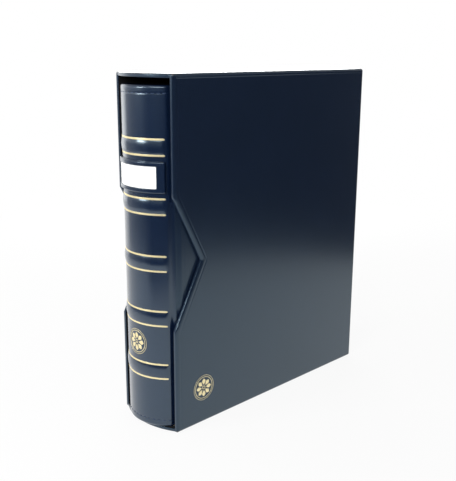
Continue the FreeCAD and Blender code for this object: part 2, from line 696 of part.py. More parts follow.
def make_covers():
    """Each cover: a leather tray turned over three edges, its board, its paper and its hinge strip."""
    for cover, sign in COVERS.items():
        leather = new_body(f"{cover}_leather")
        sketch = new_sketch(leather, "YZ_Plane", f"{sign} * ({COVER_FACE_X} + {COVER_IN_X}) / 2")
        draw_rectangle(sketch, COVER_START_Y, FORE_EDGE_Y, TAIL_Z, HEAD_Z)
        pad(leather, sketch, f"{COVER_FACE_X} - {COVER_IN_X}")
        tray = new_sketch(leather, "YZ_Plane", f"{sign} * {COVER_IN_X}")
        start = f"{COVER_START_Y} - dims.cover_turn_in"
        end = f"{FORE_EDGE_Y} - dims.cover_turn_in"
        low = f"{TAIL_Z} + dims.cover_turn_in"
        high = f"{HEAD_Z} - dims.cover_turn_in"
        draw_rectangle(tray, start, end, low, high)
        pocket(leather, tray, f"2 * ({COVER_BOARD_X} - {COVER_IN_X})")
        keep(leather, f"{cover}_cover_leather")
        layers = {
            f"{cover}_cover_board": (COVER_PAPER_X, COVER_BOARD_X),
            f"{cover}_endpaper": (COVER_IN_X, COVER_PAPER_X),
        }
        for name, (inner, outer) in layers.items():
            body = new_body(f"{name}_body")
            sketch = new_sketch(body, "YZ_Plane", f"{sign} * ({inner} + {outer}) / 2")
            draw_rectangle(sketch, COVER_START_Y, end, low, high)
            pad(body, sketch, f"{outer} - {inner}")
            keep(body, name)
        strip = new_body(f"{cover}_hinge")
        sketch = new_sketch(strip, "YZ_Plane", f"{sign} * ({COVER_FACE_X} - dims.spine_leather / 2)")
        draw_rectangle(sketch, HINGE_START_Y, HINGE_END_Y, TAIL_Z, HEAD_Z)
        pad(strip, sketch, "dims.spine_leather")
        keep(strip, f"{cover}_hinge_strip")


def along_y():
    """Direction that points into the album."""
    return FreeCAD.Vector(0, 1, 0)


def make_bed_and_rivets():
    """The flat-faced bed between the round spine and the channel, and the two rivets."""
    arc = cylinder("bed_arc", f"2 * {BED_OUT_R}", CHANNEL_LENGTH, FreeCAD.Vector(0, 0, 1),
                   ("0", SPINE_Y, CHANNEL_LOW_Z))
    low = ("-dims.bed_width / 2", f"{SPINE_Y} - {BED_OUT_R} - dims.bed_thickness", CHANNEL_LOW_Z)
    high = ("dims.bed_width / 2", BED_Y, CHANNEL_HIGH_Z)
    blank = doc.addObject("Part::MultiCommon", "bed_blank")
    blank.Shapes = [arc, box("bed_block", low, high)]
    holes = []
    rivets = []
    for number, height in enumerate(rivet_places()):
        start = f"{BED_Y} - 2 * dims.bed_thickness"
        hole = cylinder(f"bed_hole_{number}", "dims.rivet_shank + 2 * dims.rivet_play",
                        "4 * dims.bed_thickness", along_y(), ("0", start, height))
        shank = cylinder(f"rivet_shank_{number}", "dims.rivet_shank", f"{CROWN_Y} - {RIVET_END_Y}",
                         along_y(), ("0", RIVET_END_Y, height))
        head = cylinder(f"rivet_head_{number}", "dims.rivet_head", "dims.rivet_head_height",
                        along_y(), ("0", CROWN_Y, height))
        holes.append(hole)
        rivets.append(fuse(f"rivet_{number}", [shank, head]))
    keep(cut("bed", blank, holes), "mechanism_bed")
    keep(compound("rivets", rivets), "channel_rivets")


def ring_heights():
    """Heights of the rings."""
    return [f"{ALBUM_MID_Z} + {RING_PITCH} * ({number} - ({RINGS} - 1) / 2)" for number in range(RINGS)]


def make_channel():
    """The pressed steel channel with slots for the ring legs, levers, pins and rivets."""
    body = new_body("channel")
    sketch = new_sketch(body, "XY_Plane", ALBUM_MID_Z)
    outer = [(CHANNEL_HALF, BED_Y), (CHANNEL_HALF, SIDE_TOP_Y), (CROWN_HALF, CROWN_Y)]
    inner = [(CROWN_IN_X, CROWN_IN_Y), (SIDE_IN_X, SIDE_IN_Y), (SIDE_IN_X, BED_Y)]
    mirrored_outer = [(f"-{x}", y) for x, y in outer[::-1]]
    mirrored_inner = [(f"-{x}", y) for x, y in inner[::-1]]
    draw_polygon(sketch, outer + mirrored_outer + mirrored_inner + inner)
    pad(body, sketch, CHANNEL_LENGTH)
    slots = new_sketch(body, "XZ_Plane")
    half_slot = "(dims.ring_wire / 2 + dims.slot_play)"
    slot_in = f"({LEG_X} - {half_slot})"
    slot_out = f"({PIVOT_X} + dims.blade_play / 2)"
    for sign in SIDES.values():
        for height in ring_heights():
            draw_rectangle(slots, f"{sign} * {slot_in}", f"{sign} * {slot_out}",
                           f"{height} - {half_slot}", f"{height} + {half_slot}")
    for sign in ENDS.values():
        end = f"{ALBUM_MID_Z} + {sign} * ({CHANNEL_LENGTH} / 2 + dims.slot_play)"
        start = f"{ALBUM_MID_Z} + {sign} * ({CHANNEL_LENGTH} / 2 - dims.lever_slot)"
        half = "(dims.lever_width / 2 + dims.slot_play)"
        draw_rectangle(slots, f"-{half}", half, start, end)
    for height in rivet_places():
        draw_circle(slots, "0", height, "dims.rivet_shank + 2 * dims.rivet_play")
    pocket(body, slots)
    pin_holes = new_sketch(body, "YZ_Plane")
    for sign in ENDS.values():
        height = f"{ALBUM_MID_Z} + {sign} * {LEVER_OFFSET}"
        draw_circle(pin_holes, PIVOT_Y, height, "dims.lever_pin + 2 * dims.rivet_play")
    pocket(body, pin_holes)
    keep(body, "ring_channel")


def make_blade(side, sign):
    """One hinged blade, tilted as it lies with the rings shut, notched for the rivets."""
    body = new_body(f"{side}_blade")
    sketch = new_sketch(body, "XZ_Plane")
    seam = f"-{sign} * ({PIVOT_X} - dims.blade_seam / 2)"
    relief = f"-{sign} * ({PIVOT_X} - dims.rivet_shank / 2 - dims.rivet_notch_play)"
    half_relief = "(dims.rivet_shank / 2 + dims.rivet_notch_play)"
    low = f"{ALBUM_MID_Z} - {BLADE_HALF_LENGTH}"
    high = f"{ALBUM_MID_Z} + {BLADE_HALF_LENGTH}"
    corners = [("0", low), ("0", high), (seam, high)]
    for height in rivet_places():
        corners.append((seam, f"{height} + {half_relief}"))
        corners.append((relief, f"{height} + {half_relief}"))
        corners.append((relief, f"{height} - {half_relief}"))
        corners.append((seam, f"{height} - {half_relief}"))
    corners.append((seam, low))
    draw_polygon(sketch, corners)
    pad(body, sketch, "dims.blade_thickness")
    holes = new_sketch(body, "XZ_Plane")
    for height in ring_heights():
        draw_circle(holes, f"-{sign} * dims.ring_leg_inset", height, "dims.ring_wire + 2 * dims.leg_play")
    pocket(body, holes)
    body.Placement.Rotation = FreeCAD.Rotation(FreeCAD.Vector(0, 0, int(sign)), 1)
    bind(body, {"Placement.Rotation.Angle": HALF_SWING})
    place(body, f"{sign} * {PIVOT_X}", PIVOT_Y)
    keep(body, f"{side}_ring_blade")


def ring_arc(name, radius, sweep, start, centre):
    """Bend a length of ring wire about an upright axis."""
    arc = doc.addObject("Part::Torus", name)
    bind(arc, {"Radius1": radius, "Radius2": "dims.ring_wire / 2", "Angle3": sweep})
    arc.Placement.Rotation = FreeCAD.Rotation(FreeCAD.Vector(0, 0, 1), 1)
    bind(arc, {"Placement.Rotation.Angle": start})
    return place(arc, *centre)


def make_half_rings(side, sign):
    """Half rings of bent wire, each with a leg through the blade and a riveted head under it."""
    bow_sweep = f"180 deg - {BEND_ANGLE} - {TIP_ANGLE}"
    bend_sweep = f"90 deg - {BEND_ANGLE}"
    if sign == "1":
        bow_start = f"{BEND_ANGLE} - 90 deg"
        bend_start = f"90 deg + {BEND_ANGLE}"
    else:
        bow_start = f"90 deg + {TIP_ANGLE}"
        bend_start = "0 deg"
    halves = []
    for number, height in enumerate(ring_heights()):
        name = f"{side}_ring_{number}"
        leg_x = f"{sign} * {LEG_X}"
        leg = cylinder(f"{name}_leg", "dims.ring_wire", f"{BEND_Y} - {LEG_HEAD_TOP_Y}", along_y(),
                       (leg_x, LEG_HEAD_TOP_Y, height))
        head = cylinder(f"{name}_head", "dims.leg_head_width", "dims.leg_head_height", along_y(),
                        (leg_x, f"{LEG_HEAD_TOP_Y} - dims.leg_head_height", height))
        bend = ring_arc(f"{name}_bend", "dims.ring_bend", bend_sweep, bend_start,
                        (f"{sign} * {BEND_X}", BEND_Y, height))
        bow = ring_arc(f"{name}_bow", "dims.ring_radius", bow_sweep, bow_start, ("0", RING_Y, height))
        halves.append(fuse(name, [head, leg, bend, bow]))
    keep(compound(f"{side}_rings", halves), f"{side}_half_rings")


def make_lever(end, sign):
    """An opening lever: a tongue under the blades' seam, a hub on its pin and a thumb handle."""
    pin_height = f"{ALBUM_MID_Z} + {sign} * {LEVER_OFFSET}"
    body = new_body(f"{end}_arm")
    hub = new_sketch(body, "YZ_Plane")
    draw_circle(hub, "0", "0", "dims.lever_hub")
    pad(body, hub, "dims.lever_width")
    arm = new_sketch(body, "YZ_Plane")
    tongue_low = "(-dims.tongue_top - dims.tongue_thickness)"
    draw_polygon(arm, [
        ("0", "0"),
        ("-dims.tongue_top", f"-{sign} * (dims.lever_hub - dims.lever_pin) / 2"),
        ("-dims.tongue_top", f"-{sign} * dims.tongue_reach"),
        (tongue_low, f"-{sign} * dims.tongue_reach"),
        (tongue_low, "0"),
    ])
    pad(body, arm, "dims.tongue_width")
    handle = new_sketch(body, "YZ_Plane")
    half = "dims.handle_thickness / 2"
    draw_polygon(handle, [
        (half, f"-{sign} * {half}"),
        (f"dims.handle_rise + {half}", f"{sign} * (dims.handle_reach - {half})"),
        (f"dims.handle_rise - {half}", f"{sign} * (dims.handle_reach + {half})"),
        (f"-{half}", f"{sign} * {half}"),
    ])
    pad(body, handle, "dims.lever_width")
    bore = new_sketch(body, "YZ_Plane")
    draw_circle(bore, "0", "0", "dims.lever_pin + 2 * dims.lever_pin_play")
    pocket(body, bore)
    keep(place(body, "0", PIVOT_Y, pin_height), f"{end}_lever")
    pin = cylinder(f"{end}_pin", "dims.lever_pin", "dims.channel_width", FreeCAD.Vector(1, 0, 0),
                   (f"-{CHANNEL_HALF}", PIVOT_Y, pin_height))
    keep(pin, f"{end}_lever_pin")


def make_leaves():
    """Stock leaves on the rings, each with clear pocket strips on both faces."""
    for number in range(LEAVES):
        middle = f"(dims.leaf_pitch * ({number} - ({LEAVES} - 1) / 2))"
        body = new_body(f"leaf_{number + 1}")
        sketch = new_sketch(body, "YZ_Plane", middle)
        low = f"({LEAF_MID_Z} - {LEAF_HEIGHT} / 2)"
        high = f"({LEAF_MID_Z} + {LEAF_HEIGHT} / 2)"
        draw_rectangle(sketch, LEAF_START_Y, LEAF_END_Y, low, high)
        pad(body, sketch, "dims.leaf_thickness")
        holes = new_sketch(body, "YZ_Plane", middle)
        for height in ring_heights():
            draw_circle(holes, HOLE_Y, f"{height} - dims.leaf_drop", "dims.leaf_hole")
        pocket(body, holes)
        keep(body, f"stock_leaf_{number + 1}")
        strips = []
        start = f"{LEAF_START_Y} + dims.strip_hole_margin"
        end = f"{LEAF_END_Y} - dims.strip_side_margin"
        for strip_row in range(STRIP_ROWS):
            centre = f"{LEAF_MID_Z} + {STRIP_PITCH} * ({strip_row} - ({STRIP_ROWS} - 1) / 2)"
            bottom = f"{centre} - dims.strip_height / 2"
            top = f"{centre} + dims.strip_height / 2"
            face = f"({middle} + dims.leaf_thickness / 2)"
            other_face = f"({middle} - dims.leaf_thickness / 2)"
            name = f"strip_{number + 1}_{strip_row + 1}"
            outer = f"{face} + dims.strip_film"
            other_outer = f"{other_face} - dims.strip_film"
            strips.append(box(name, (face, start, bottom), (outer, end, top)))
            strips.append(box(name, (other_outer, start, bottom), (other_face, end, top)))
        keep(compound(f"strips_{number + 1}", strips), f"pocket_strips_{number + 1}")


def build():
    """Make every piece of the album and its slipcase."""
    make_case_boards()
    make_case_wrap()
    make_case_end_cover("case_top_cover", BOARD_TOP_Z, "dims.case_height", CASE_IN_TOP_Z, BOARD_TOP_Z)
    make_case_end_cover("case_bottom_cover", "0", "dims.case_skin", "dims.case_skin", CASE_WALL)
    make_case_lining()
    make_spine_covering()
    make_spine_board()
    make_gilt_lines()
    make_label_holder()
    make_covers()
    make_bed_and_rivets()
    make_channel()
    for side, sign in SIDES.items():
        make_blade(side, sign)
        make_half_rings(side, sign)
    for end, sign in ENDS.items():
        make_lever(end, sign)
    make_leaves()
    doc.recompute()


def write():
    """Check every object and write each node's solid."""
    failed = [item.Name for item in doc.Objects if "Invalid" in item.State or "Error" in item.State]
    if failed:
        raise RuntimeError(f"objects failed: {failed}")
    for node in nodes:
        if node.Shape.isNull() or not node.Shape.isValid():
            raise RuntimeError(f"bad shape: {node.Label}")
    os.makedirs("parts", exist_ok=True)
    for node in nodes:
        node.Shape.exportStep(f"parts/{node.Label}.step")
        print(node.Label, len(node.Shape.Solids), round(node.Shape.Volume, 1))


build()
write()
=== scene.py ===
import logging
import math
from dataclasses import dataclass
from enum import Enum
from typing import Callable, Sequence

import bmesh
import bpy
from mathutils import Matrix


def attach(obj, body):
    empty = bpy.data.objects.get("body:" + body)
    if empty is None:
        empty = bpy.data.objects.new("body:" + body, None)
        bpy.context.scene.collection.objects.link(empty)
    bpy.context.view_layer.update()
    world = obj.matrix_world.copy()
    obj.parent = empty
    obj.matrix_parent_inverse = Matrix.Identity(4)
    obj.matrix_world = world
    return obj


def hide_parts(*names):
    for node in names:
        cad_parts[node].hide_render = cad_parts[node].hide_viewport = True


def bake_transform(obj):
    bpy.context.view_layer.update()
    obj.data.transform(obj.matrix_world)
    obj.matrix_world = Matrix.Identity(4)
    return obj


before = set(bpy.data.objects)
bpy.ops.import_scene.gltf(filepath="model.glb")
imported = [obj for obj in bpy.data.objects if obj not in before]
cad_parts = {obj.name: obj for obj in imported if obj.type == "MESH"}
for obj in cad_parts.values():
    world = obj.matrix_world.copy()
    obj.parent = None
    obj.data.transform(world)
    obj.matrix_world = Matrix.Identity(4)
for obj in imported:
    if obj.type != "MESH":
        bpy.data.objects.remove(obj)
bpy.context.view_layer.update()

# A ring-bound stamp album with a rounded, padded spine, standing in its slipcase.
# Sizes are millimetres in the album's classes, and metres in the studio and the scene.
# X runs across the thickness, the spine faces -Y and Z is up; the front cover is on the +X side.

MM = 0.001
LOG = logging.getLogger("stamp_album")

Point = tuple[float, float, float]
Pair = tuple[float, float]
Edge = tuple[Pair, ...]
Loop = list[Point]
Tree = bpy.types.NodeTree
Socket = bpy.types.NodeSocket
Piece = bpy.types.Object
Node = bpy.types.Node
Material = bpy.types.Material
Mesh = bmesh.types.BMesh


class Face(Enum):
    """Which part of a rounded rectangle's outline a station lies on."""

    RIGHT = "right"
    TOP = "top"
    LEFT = "left"
    BOTTOM = "bottom"
    CORNER = "corner"


class Side(Enum):
    """The two sides of the album, by the sign of their X."""

    FRONT = 1
    BACK = -1


# Colour and node helpers


def linear(hex_colour: str) -> tuple[float, float, float, float]:
    """Turn an sRGB hex colour into linear light.

    Args:
        hex_colour: six hex digits after a hash sign.

    Returns:
        Red, green, blue and full opacity.
    """
    channels = [int(hex_colour[start:start + 2], 16) / 255 for start in (1, 3, 5)]
    light = [c / 12.92 if c <= 0.04045 else ((c + 0.055) / 1.055) ** 2.4 for c in channels]
    return light[0], light[1], light[2], 1.0


def configure(node: Node, settings: dict) -> None:
    """Set a node's values and links.

    Args:
        node: the node.
        settings: a value, or the socket that feeds it, by input or property name;
            "stops" fills a colour ramp.
    """
    for key, value in settings.items():
        if key == "stops":
            for element, (position, colour) in zip(node.color_ramp.elements, value):
                element.position = position
                element.color = colour
        elif isinstance(value, Socket):
            node.id_data.links.new(value, node.inputs[key])
        elif key in node.inputs:
            node.inputs[key].default_value = value
        else:
            setattr(node, key, value)


def add_node(tree: Tree, kind: str, settings: dict | None = None) -> Node:
    """Add a node with its values and links.

    Args:
        tree: the tree that gets the node.
        kind: the node's type name.
        settings: what configure takes.

    Returns:
        The new node.
    """
    node = tree.nodes.new(kind)
    configure(node, settings or {})
    return node


def noise(tree: Tree, place: Socket, size_mm: float, detail: float) -> Socket:
    """Cloudy noise with features of one size, from 0 to 1."""
    settings = {"Vector": place, "Scale": 1 / (size_mm * MM), "Detail": detail}
    return add_node(tree, "ShaderNodeTexNoise", settings).outputs["Fac"]


def new_material(name: str, settings: dict) -> tuple[Material, Node]:
    """Make a material with one principled shader.

    Args:
        name: what it is made of and how.
        settings: values of the shader's own sockets.

    Returns:
        The material and its shader.
    """
    material = bpy.data.materials.new(name)
    material.use_nodes = True
    shader = material.node_tree.nodes["Principled BSDF"]
    configure(shader, settings)
    return material, shader


# Finishes


@dataclass(frozen=True)
class Finish:
    """A surface: two close tones of one colour, its gloss, and a relief pattern."""

    name: str
    colour: str
    tone: str
    roughness: float
    roughness_spread: float
    pattern_mm: float
    relief_mm: float
    metallic: float = 0.0
    ior: float = 1.5
    coat: float = 0.0
    coat_roughness: float = 0.2
    gloss_tint: str = "#ffffff"
    opacity: float = 1.0
    relief_strength: float = 0.6
    colour_until: float = 0.3
    tone_from: float = 0.7

    def pattern(self, tree: Tree, place: Socket) -> Socket:
        """Draw the relief, a value from 0 to 1, over coordinates on the object in metres."""
        return noise(tree, place, self.pattern_mm, detail=3.0)

    def tones(self, tree: Tree, place: Socket, relief: Socket) -> Socket:
        """Choose what mixes the two tones; the relief itself unless a finish says otherwise."""
        return relief

    def make(self) -> Material:
        """Build the material.

        Returns:
            A material whose colour, roughness and bump follow the pattern.
        """
        settings = {"Metallic": self.metallic, "Alpha": self.opacity, "Coat Weight": self.coat,
                    "Coat Roughness": self.coat_roughness, "Specular Tint": linear(self.gloss_tint)}
        if self.metallic == 0.0:
            settings["IOR"] = self.ior
        material, shader = new_material(self.name, settings)
        tree = material.node_tree
        place = add_node(tree, "ShaderNodeTexCoord").outputs["Object"]
        relief = self.pattern(tree, place)
        mix = self.tones(tree, place, relief)
        stops = [(self.colour_until, linear(self.colour)), (self.tone_from, linear(self.tone))]
        ramp = add_node(tree, "ShaderNodeValToRGB", {"stops": stops, "Fac": mix})
        low = self.roughness - self.roughness_spread
        high = self.roughness + self.roughness_spread
        gloss = add_node(tree, "ShaderNodeMapRange", {"To Min": low, "To Max": high, "Value": mix})
        bump = add_node(tree, "ShaderNodeBump", {"Strength": self.relief_strength,
                                                 "Distance": self.relief_mm * MM, "Height": relief})
        configure(shader, {"Base Color": ramp.outputs["Color"], "Roughness": gloss.outputs["Result"],
                           "Normal": bump.outputs["Normal"]})
        return material


@dataclass(frozen=True)
class Leatherette(Finish):
    """Embossed vinyl: shallow rounded grain cells, and a broad mottle from its lacquer."""

    mottle_mm: float = 45.0

    def pattern(self, tree: Tree, place: Socket) -> Socket:
        """Draw rounded grain cells."""
        settings = {"feature": "SMOOTH_F1", "Vector": place, "Scale": 1 / (self.pattern_mm * MM),
                    "Smoothness": 0.6}
        return add_node(tree, "ShaderNodeTexVoronoi", settings).outputs["Distance"]

    def tones(self, tree: Tree, place: Socket, relief: Socket) -> Socket:
        """Mix the tones by a broad mottle."""
        return noise(tree, place, self.mottle_mm, detail=1.0)


@dataclass(frozen=True)
class Fibrous(Finish):
    """Paper, card or board: short fibres that lie along the sheet's height."""

    stretch: float = 6.0

    def pattern(self, tree: Tree, place: Socket) -> Socket:
        """Draw fibres as noise that is stretched along Z."""
        settings = {"Vector": place, "Scale": (1.0, 1.0, 1 / self.stretch)}
        drawn = add_node(tree, "ShaderNodeMapping", settings)
        return noise(tree, drawn.outputs["Vector"], self.pattern_mm, detail=6.0)


@dataclass(frozen=True)
class RolledMetal(Fibrous):
    """Plated or rolled metal: fine lines along the rolling direction."""

    metallic: float = 1.0


@dataclass(frozen=True)
class Film(Finish):
    """Clear soft film: see-through, glossy, with slow waves from the rolls."""

    opacity: float = 0.08


@dataclass(frozen=True)
class Twist(Finish):
    """Sewing thread: plies that run slantwise round it."""

    def pattern(self, tree: Tree, place: Socket) -> Socket:
        """Draw slanting plies."""
        settings = {"bands_direction": "DIAGONAL", "Vector": place, "Scale": 1 / (self.pattern_mm * MM),
                    "Distortion": 0.5}
        return add_node(tree, "ShaderNodeTexWave", settings).outputs["Fac"]


class Finishes:
    """Every material of the album, each made once."""

    def __init__(self) -> None:
        """Make the materials."""
        # Vinyl leatherette, lacquered: a deep navy with a wet-looking gloss that mirrors pale
        # surroundings. Its grain is about 0.5 mm and is drawn at 1.4 mm, so that it shows at all.
        self.leatherette = Leatherette("navy_vinyl_leatherette_lacquered", "#121d31", "#131e33",
                                       0.27, 0.006, 1.4, 0.004, ior=1.6, coat=0.5, coat_roughness=0.2,
                                       gloss_tint="#b8ebff").make()
        # The same vinyl drawn tight over foam: it stretches smoother, so its highlights are sharper. Its
        # base colour is set darker than the case's vinyl above, and that difference is painted shade.
        self.padded_shaded_leatherette = Leatherette("navy_vinyl_leatherette_padded", "#091730", "#0b1a34",
                                              0.25, 0.006, 1.4, 0.006, ior=1.65, coat=0.9,
                                              coat_roughness=0.19, gloss_tint="#c4edff").make()
        # Hot-stamped gilt foil: pale gold, half mirror-like, with a faint break-up from the vinyl below.
        self.foil = Finish("gilt_foil_hot_stamped", "#fff3c8", "#f8e6ae", 0.42, 0.05, 0.9, 0.01,
                           metallic=0.8).make()
        # Uncoated paper, dyed through: dull black, with fibres that only raking light shows.
        self.lining = Fibrous("black_lining_paper_uncoated", "#0b0b0d", "#131316",
                              0.8, 0.08, 1.2, 0.03).make()
        # Grey board, pressed from waste paper: speckled grey-brown.
        self.board = Fibrous("grey_board_pressed", "#6f6961", "#8a847a", 0.85, 0.06, 0.8, 0.05).make()
        # Endpaper, dark blue: a soft sheen and laid lines.
        self.endpaper = Fibrous("dark_blue_endpaper_laid", "#1b2230", "#252e3f", 0.7, 0.06, 0.9, 0.02).make()
        # Label card, coated: clean white with a trace of fibre.
        self.card = Fibrous("white_label_card_coated", "#fbfbf8", "#f4f4f0", 0.55, 0.05, 0.7, 0.01).make()
        # Stock-leaf card, black, calendered: smoother and a little shinier than the lining.
        self.leaf = Fibrous("black_leaf_card_calendered", "#101012", "#1a1a1d", 0.6, 0.06, 0.9, 0.02).make()
        # Soft vinyl film, cast: water-clear with slow waves.
        self.film = Film("clear_vinyl_film_cast", "#ffffff", "#f6f8f8", 0.1, 0.03, 18.0, 0.04).make()
        # Nickel plate over polished wire: warm silver, mirror-bright.
        self.nickel = RolledMetal("nickel_plate_polished", "#d8d3c9", "#c9c4ba", 0.16, 0.04, 0.6, 0.005,
                                  stretch=12.0).make()
        # Cold-rolled spring steel, zinc-plated: bluish grey with rolling lines.
        self.steel = RolledMetal("zinc_plated_steel_rolled", "#b4b8bd", "#9fa4aa", 0.34, 0.06, 0.5, 0.01,
                                 stretch=20.0).make()
        # Hard fibre board, pressed: nearly black, waxy.
        self.bed = Fibrous("black_fibre_board_pressed", "#17171a", "#222226", 0.65, 0.08, 1.5, 0.04).make()
        # Twisted polyester thread, navy. Both its tones are set lighter than the vinyl as a painted
        # highlight for the light the thread catches; its plies are drawn at 0.8 mm.
        self.thread = Twist("navy_polyester_thread_twisted", "#22324e", "#3a4b68",
                            0.45, 0.08, 0.8, 0.06).make()


# Mesh helpers


def put_in_scene(name: str, data: bpy.types.ID) -> Piece:
    """Make an object from its data and link it to the scene.

    Args:
        name: its name.
        data: its mesh, lamp or camera.

    Returns:
        The new object.
    """
    made = bpy.data.objects.new(name, data)
    bpy.context.scene.collection.objects.link(made)
    return made


def add_rows(mesh: Mesh, loops: Sequence[Loop], closed: bool = False) -> list[list]:
    """Add rows of points to a mesh and join each row to the next with faces.

    Args:
        mesh: the mesh that gets them.
        loops: rows with the same number of points, in millimetres.
        closed: whether each row runs back to its first point.

    Returns:
        The rows of new vertices.
    """
    rows = [[mesh.verts.new([c * MM for c in point]) for point in loop] for loop in loops]
    count = len(rows[0])
    for near, far in zip(rows, rows[1:]):
        for step in range(count if closed else count - 1):
            follow = (step + 1) % count
            mesh.faces.new((near[step], near[follow], far[follow], far[step]))
    return rows


def loft(name: str, loops: Sequence[Loop], closed: bool = False, cap_first: bool = False,
         cap_last: bool = False) -> Piece:
    """Join loops of points into one smooth skin.

    Args:
        name: the piece's name.
        loops: rows with the same number of points, in millimetres.
        closed: whether each row runs back to its first point.
        cap_first: whether the first row is filled.
        cap_last: whether the last row is filled.

    Returns:
        The new object.
    """
    mesh = bmesh.new()
    rows = add_rows(mesh, loops, closed)
    if cap_first:
        mesh.faces.new(rows[0][::-1])
    if cap_last:
        mesh.faces.new(rows[-1])
    return finish_mesh(name, mesh)


def finish_mesh(name: str, mesh: Mesh) -> Piece:
    """Clean a mesh, shade it smoothly and put it in the scene.

    Args:
        name: the piece's name.
        mesh: the mesh, which is freed.

    Returns:
        The new object.
    """
    bmesh.ops.remove_doubles(mesh, verts=mesh.verts[:], dist=1e-6)
    bmesh.ops.dissolve_degenerate(mesh, edges=mesh.edges[:], dist=1e-7)
    bmesh.ops.recalc_face_normals(mesh, faces=mesh.faces[:])
    data = bpy.data.meshes.new(name)
    mesh.to_mesh(data)
    mesh.free()
    data.shade_smooth()
    piece = put_in_scene(name, data)
    flat = piece.modifiers.new("even_faces", "WEIGHTED_NORMAL")
    flat.keep_sharp = True
    return piece


def dress(piece: Piece, material: Material, body: str,
          nodes: Sequence[str] = ()) -> Piece:
    """Give a piece its material, its body and the solids it stands for.

    Args:
        piece: the piece.
        material: its finish.
        body: the moving body it rides on.
        nodes: the solids it stands for.

    Returns:
        The same piece.
    """
    piece.data.materials.append(material)
    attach(piece, body)
    if nodes:
        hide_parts(*nodes)
    LOG.info("made %s on %s", piece.name, body)
    return piece


def spread(low: float, high: float, step: float) -> list[float]:
    """Evenly spaced values from low to high, no further apart than step."""
    count = max(1, math.ceil((high - low) / step))
    return [low + (high - low) * number / count for number in range(count + 1)]


@dataclass(frozen=True, order=True)
class Detail:
    """A stretch of relief that needs rows close together."""

    middle: float
    reach: float
    step: float


def rows_with_detail(low: float, high: float, coarse: float, details: Sequence[Detail]) -> list[float]:
    """Heights that are close together only where there is relief.

    Args:
        low: first height.
        high: last height.
        coarse: spacing elsewhere.
        details: the stretches of relief.

    Returns:
        Heights in rising order.
    """
    found = []
    start = low
    for detail in sorted(details):
        first = detail.middle - detail.reach
        last = detail.middle + detail.reach
        found += spread(start, first, coarse)[:-1]
        found += spread(first, last, detail.step)[:-1]
        start = last
    return found + spread(start, high, coarse)


def valley(offset: float, reach: float) -> float:
    """Depth share of a soft crease, 1 in its middle and 0 at its reach."""
    share = min(1.0, abs(offset) / reach)
    return (1 - share * share) ** 2


def ease(share: float) -> float:
    """Smooth step from 0 to 1."""
    held = min(1.0, max(0.0, share))
    return held * held * (3 - 2 * held)


def quarter(radius: float, steps: int) -> list[Pair]:
    """Quarter round: distances along the face and drops below it, from the edge inwards."""
    turns = [math.pi / 2 * number / steps for number in range(steps + 1)]
    return [(radius * (1 - math.sin(turn)), radius * (1 - math.cos(turn))) for turn in reversed(turns)]


@dataclass(frozen=True)
class Station:
    """One point of a rounded rectangle's outline and its outward direction."""

    u: float
    v: float
    out_u: float
    out_v: float
    face: Face


@dataclass(frozen=True)
class RoundedRectangle:
    """An outline with round corners, which can be drawn inwards."""

    low_u: float
    high_u: float
    low_v: float
    high_v: float
    radius: float
    steps: int = 6

    def corner(self, centre_u: float, centre_v: float, start: float) -> list[Station]:
        """Walk anticlockwise round one corner.

        Args:
            centre_u: u of its centre.
            centre_v: v of its centre.
            start: its first angle in degrees.

        Returns:
            Stations in order, without the corner's ends.
        """
        found = []
        for number in range(1, self.steps):
            turn = math.radians(start + 90 * number / self.steps)
            out_u = math.cos(turn)
            out_v = math.sin(turn)
            found.append(Station(centre_u + self.radius * out_u, centre_v + self.radius * out_v,
                                 out_u, out_v, Face.CORNER))
        return found

    def outline(self, heights: Sequence[float], widths: Sequence[float]) -> list[Station]:
        """Walk once round, anticlockwise from the foot of the right side.

        Args:
            heights: extra v values on the two sides.
            widths: extra u values on the top and bottom.

        Returns:
            Stations in order.
        """
        inner_u = (self.low_u + self.radius, self.high_u - self.radius)
        inner_v = (self.low_v + self.radius, self.high_v - self.radius)
        vs = sorted({inner_v[0], *heights, inner_v[1]})
        us = sorted({inner_u[0], *widths, inner_u[1]})
        found = [Station(self.high_u, v, 1.0, 0.0, Face.RIGHT) for v in vs]
        found += self.corner(inner_u[1], inner_v[1], 0)
        found += [Station(u, self.high_v, 0.0, 1.0, Face.TOP) for u in reversed(us)]
        found += self.corner(inner_u[0], inner_v[1], 90)
        found += [Station(self.low_u, v, -1.0, 0.0, Face.LEFT) for v in reversed(vs)]
        found += self.corner(inner_u[0], inner_v[0], 180)
        found += [Station(u, self.low_v, 0.0, -1.0, Face.BOTTOM) for u in us]
        found += self.corner(inner_u[1], inner_v[0], 270)
        return found

    def inset(self, station: Station, drop: float) -> Pair:
        """Move a station inwards, keeping the corners round while there is radius left.

        Args:
            station: a station of this outline.
            drop: how far inwards.

        Returns:
            The moved u and v.
        """
        u = station.u - station.out_u * drop
        v = station.v - station.out_v * drop
        if drop > self.radius:
            u = min(max(u, self.low_u + drop), self.high_u - drop)
            v = min(max(v, self.low_v + drop), self.high_v - drop)
        return u, v


# Sub-assemblies


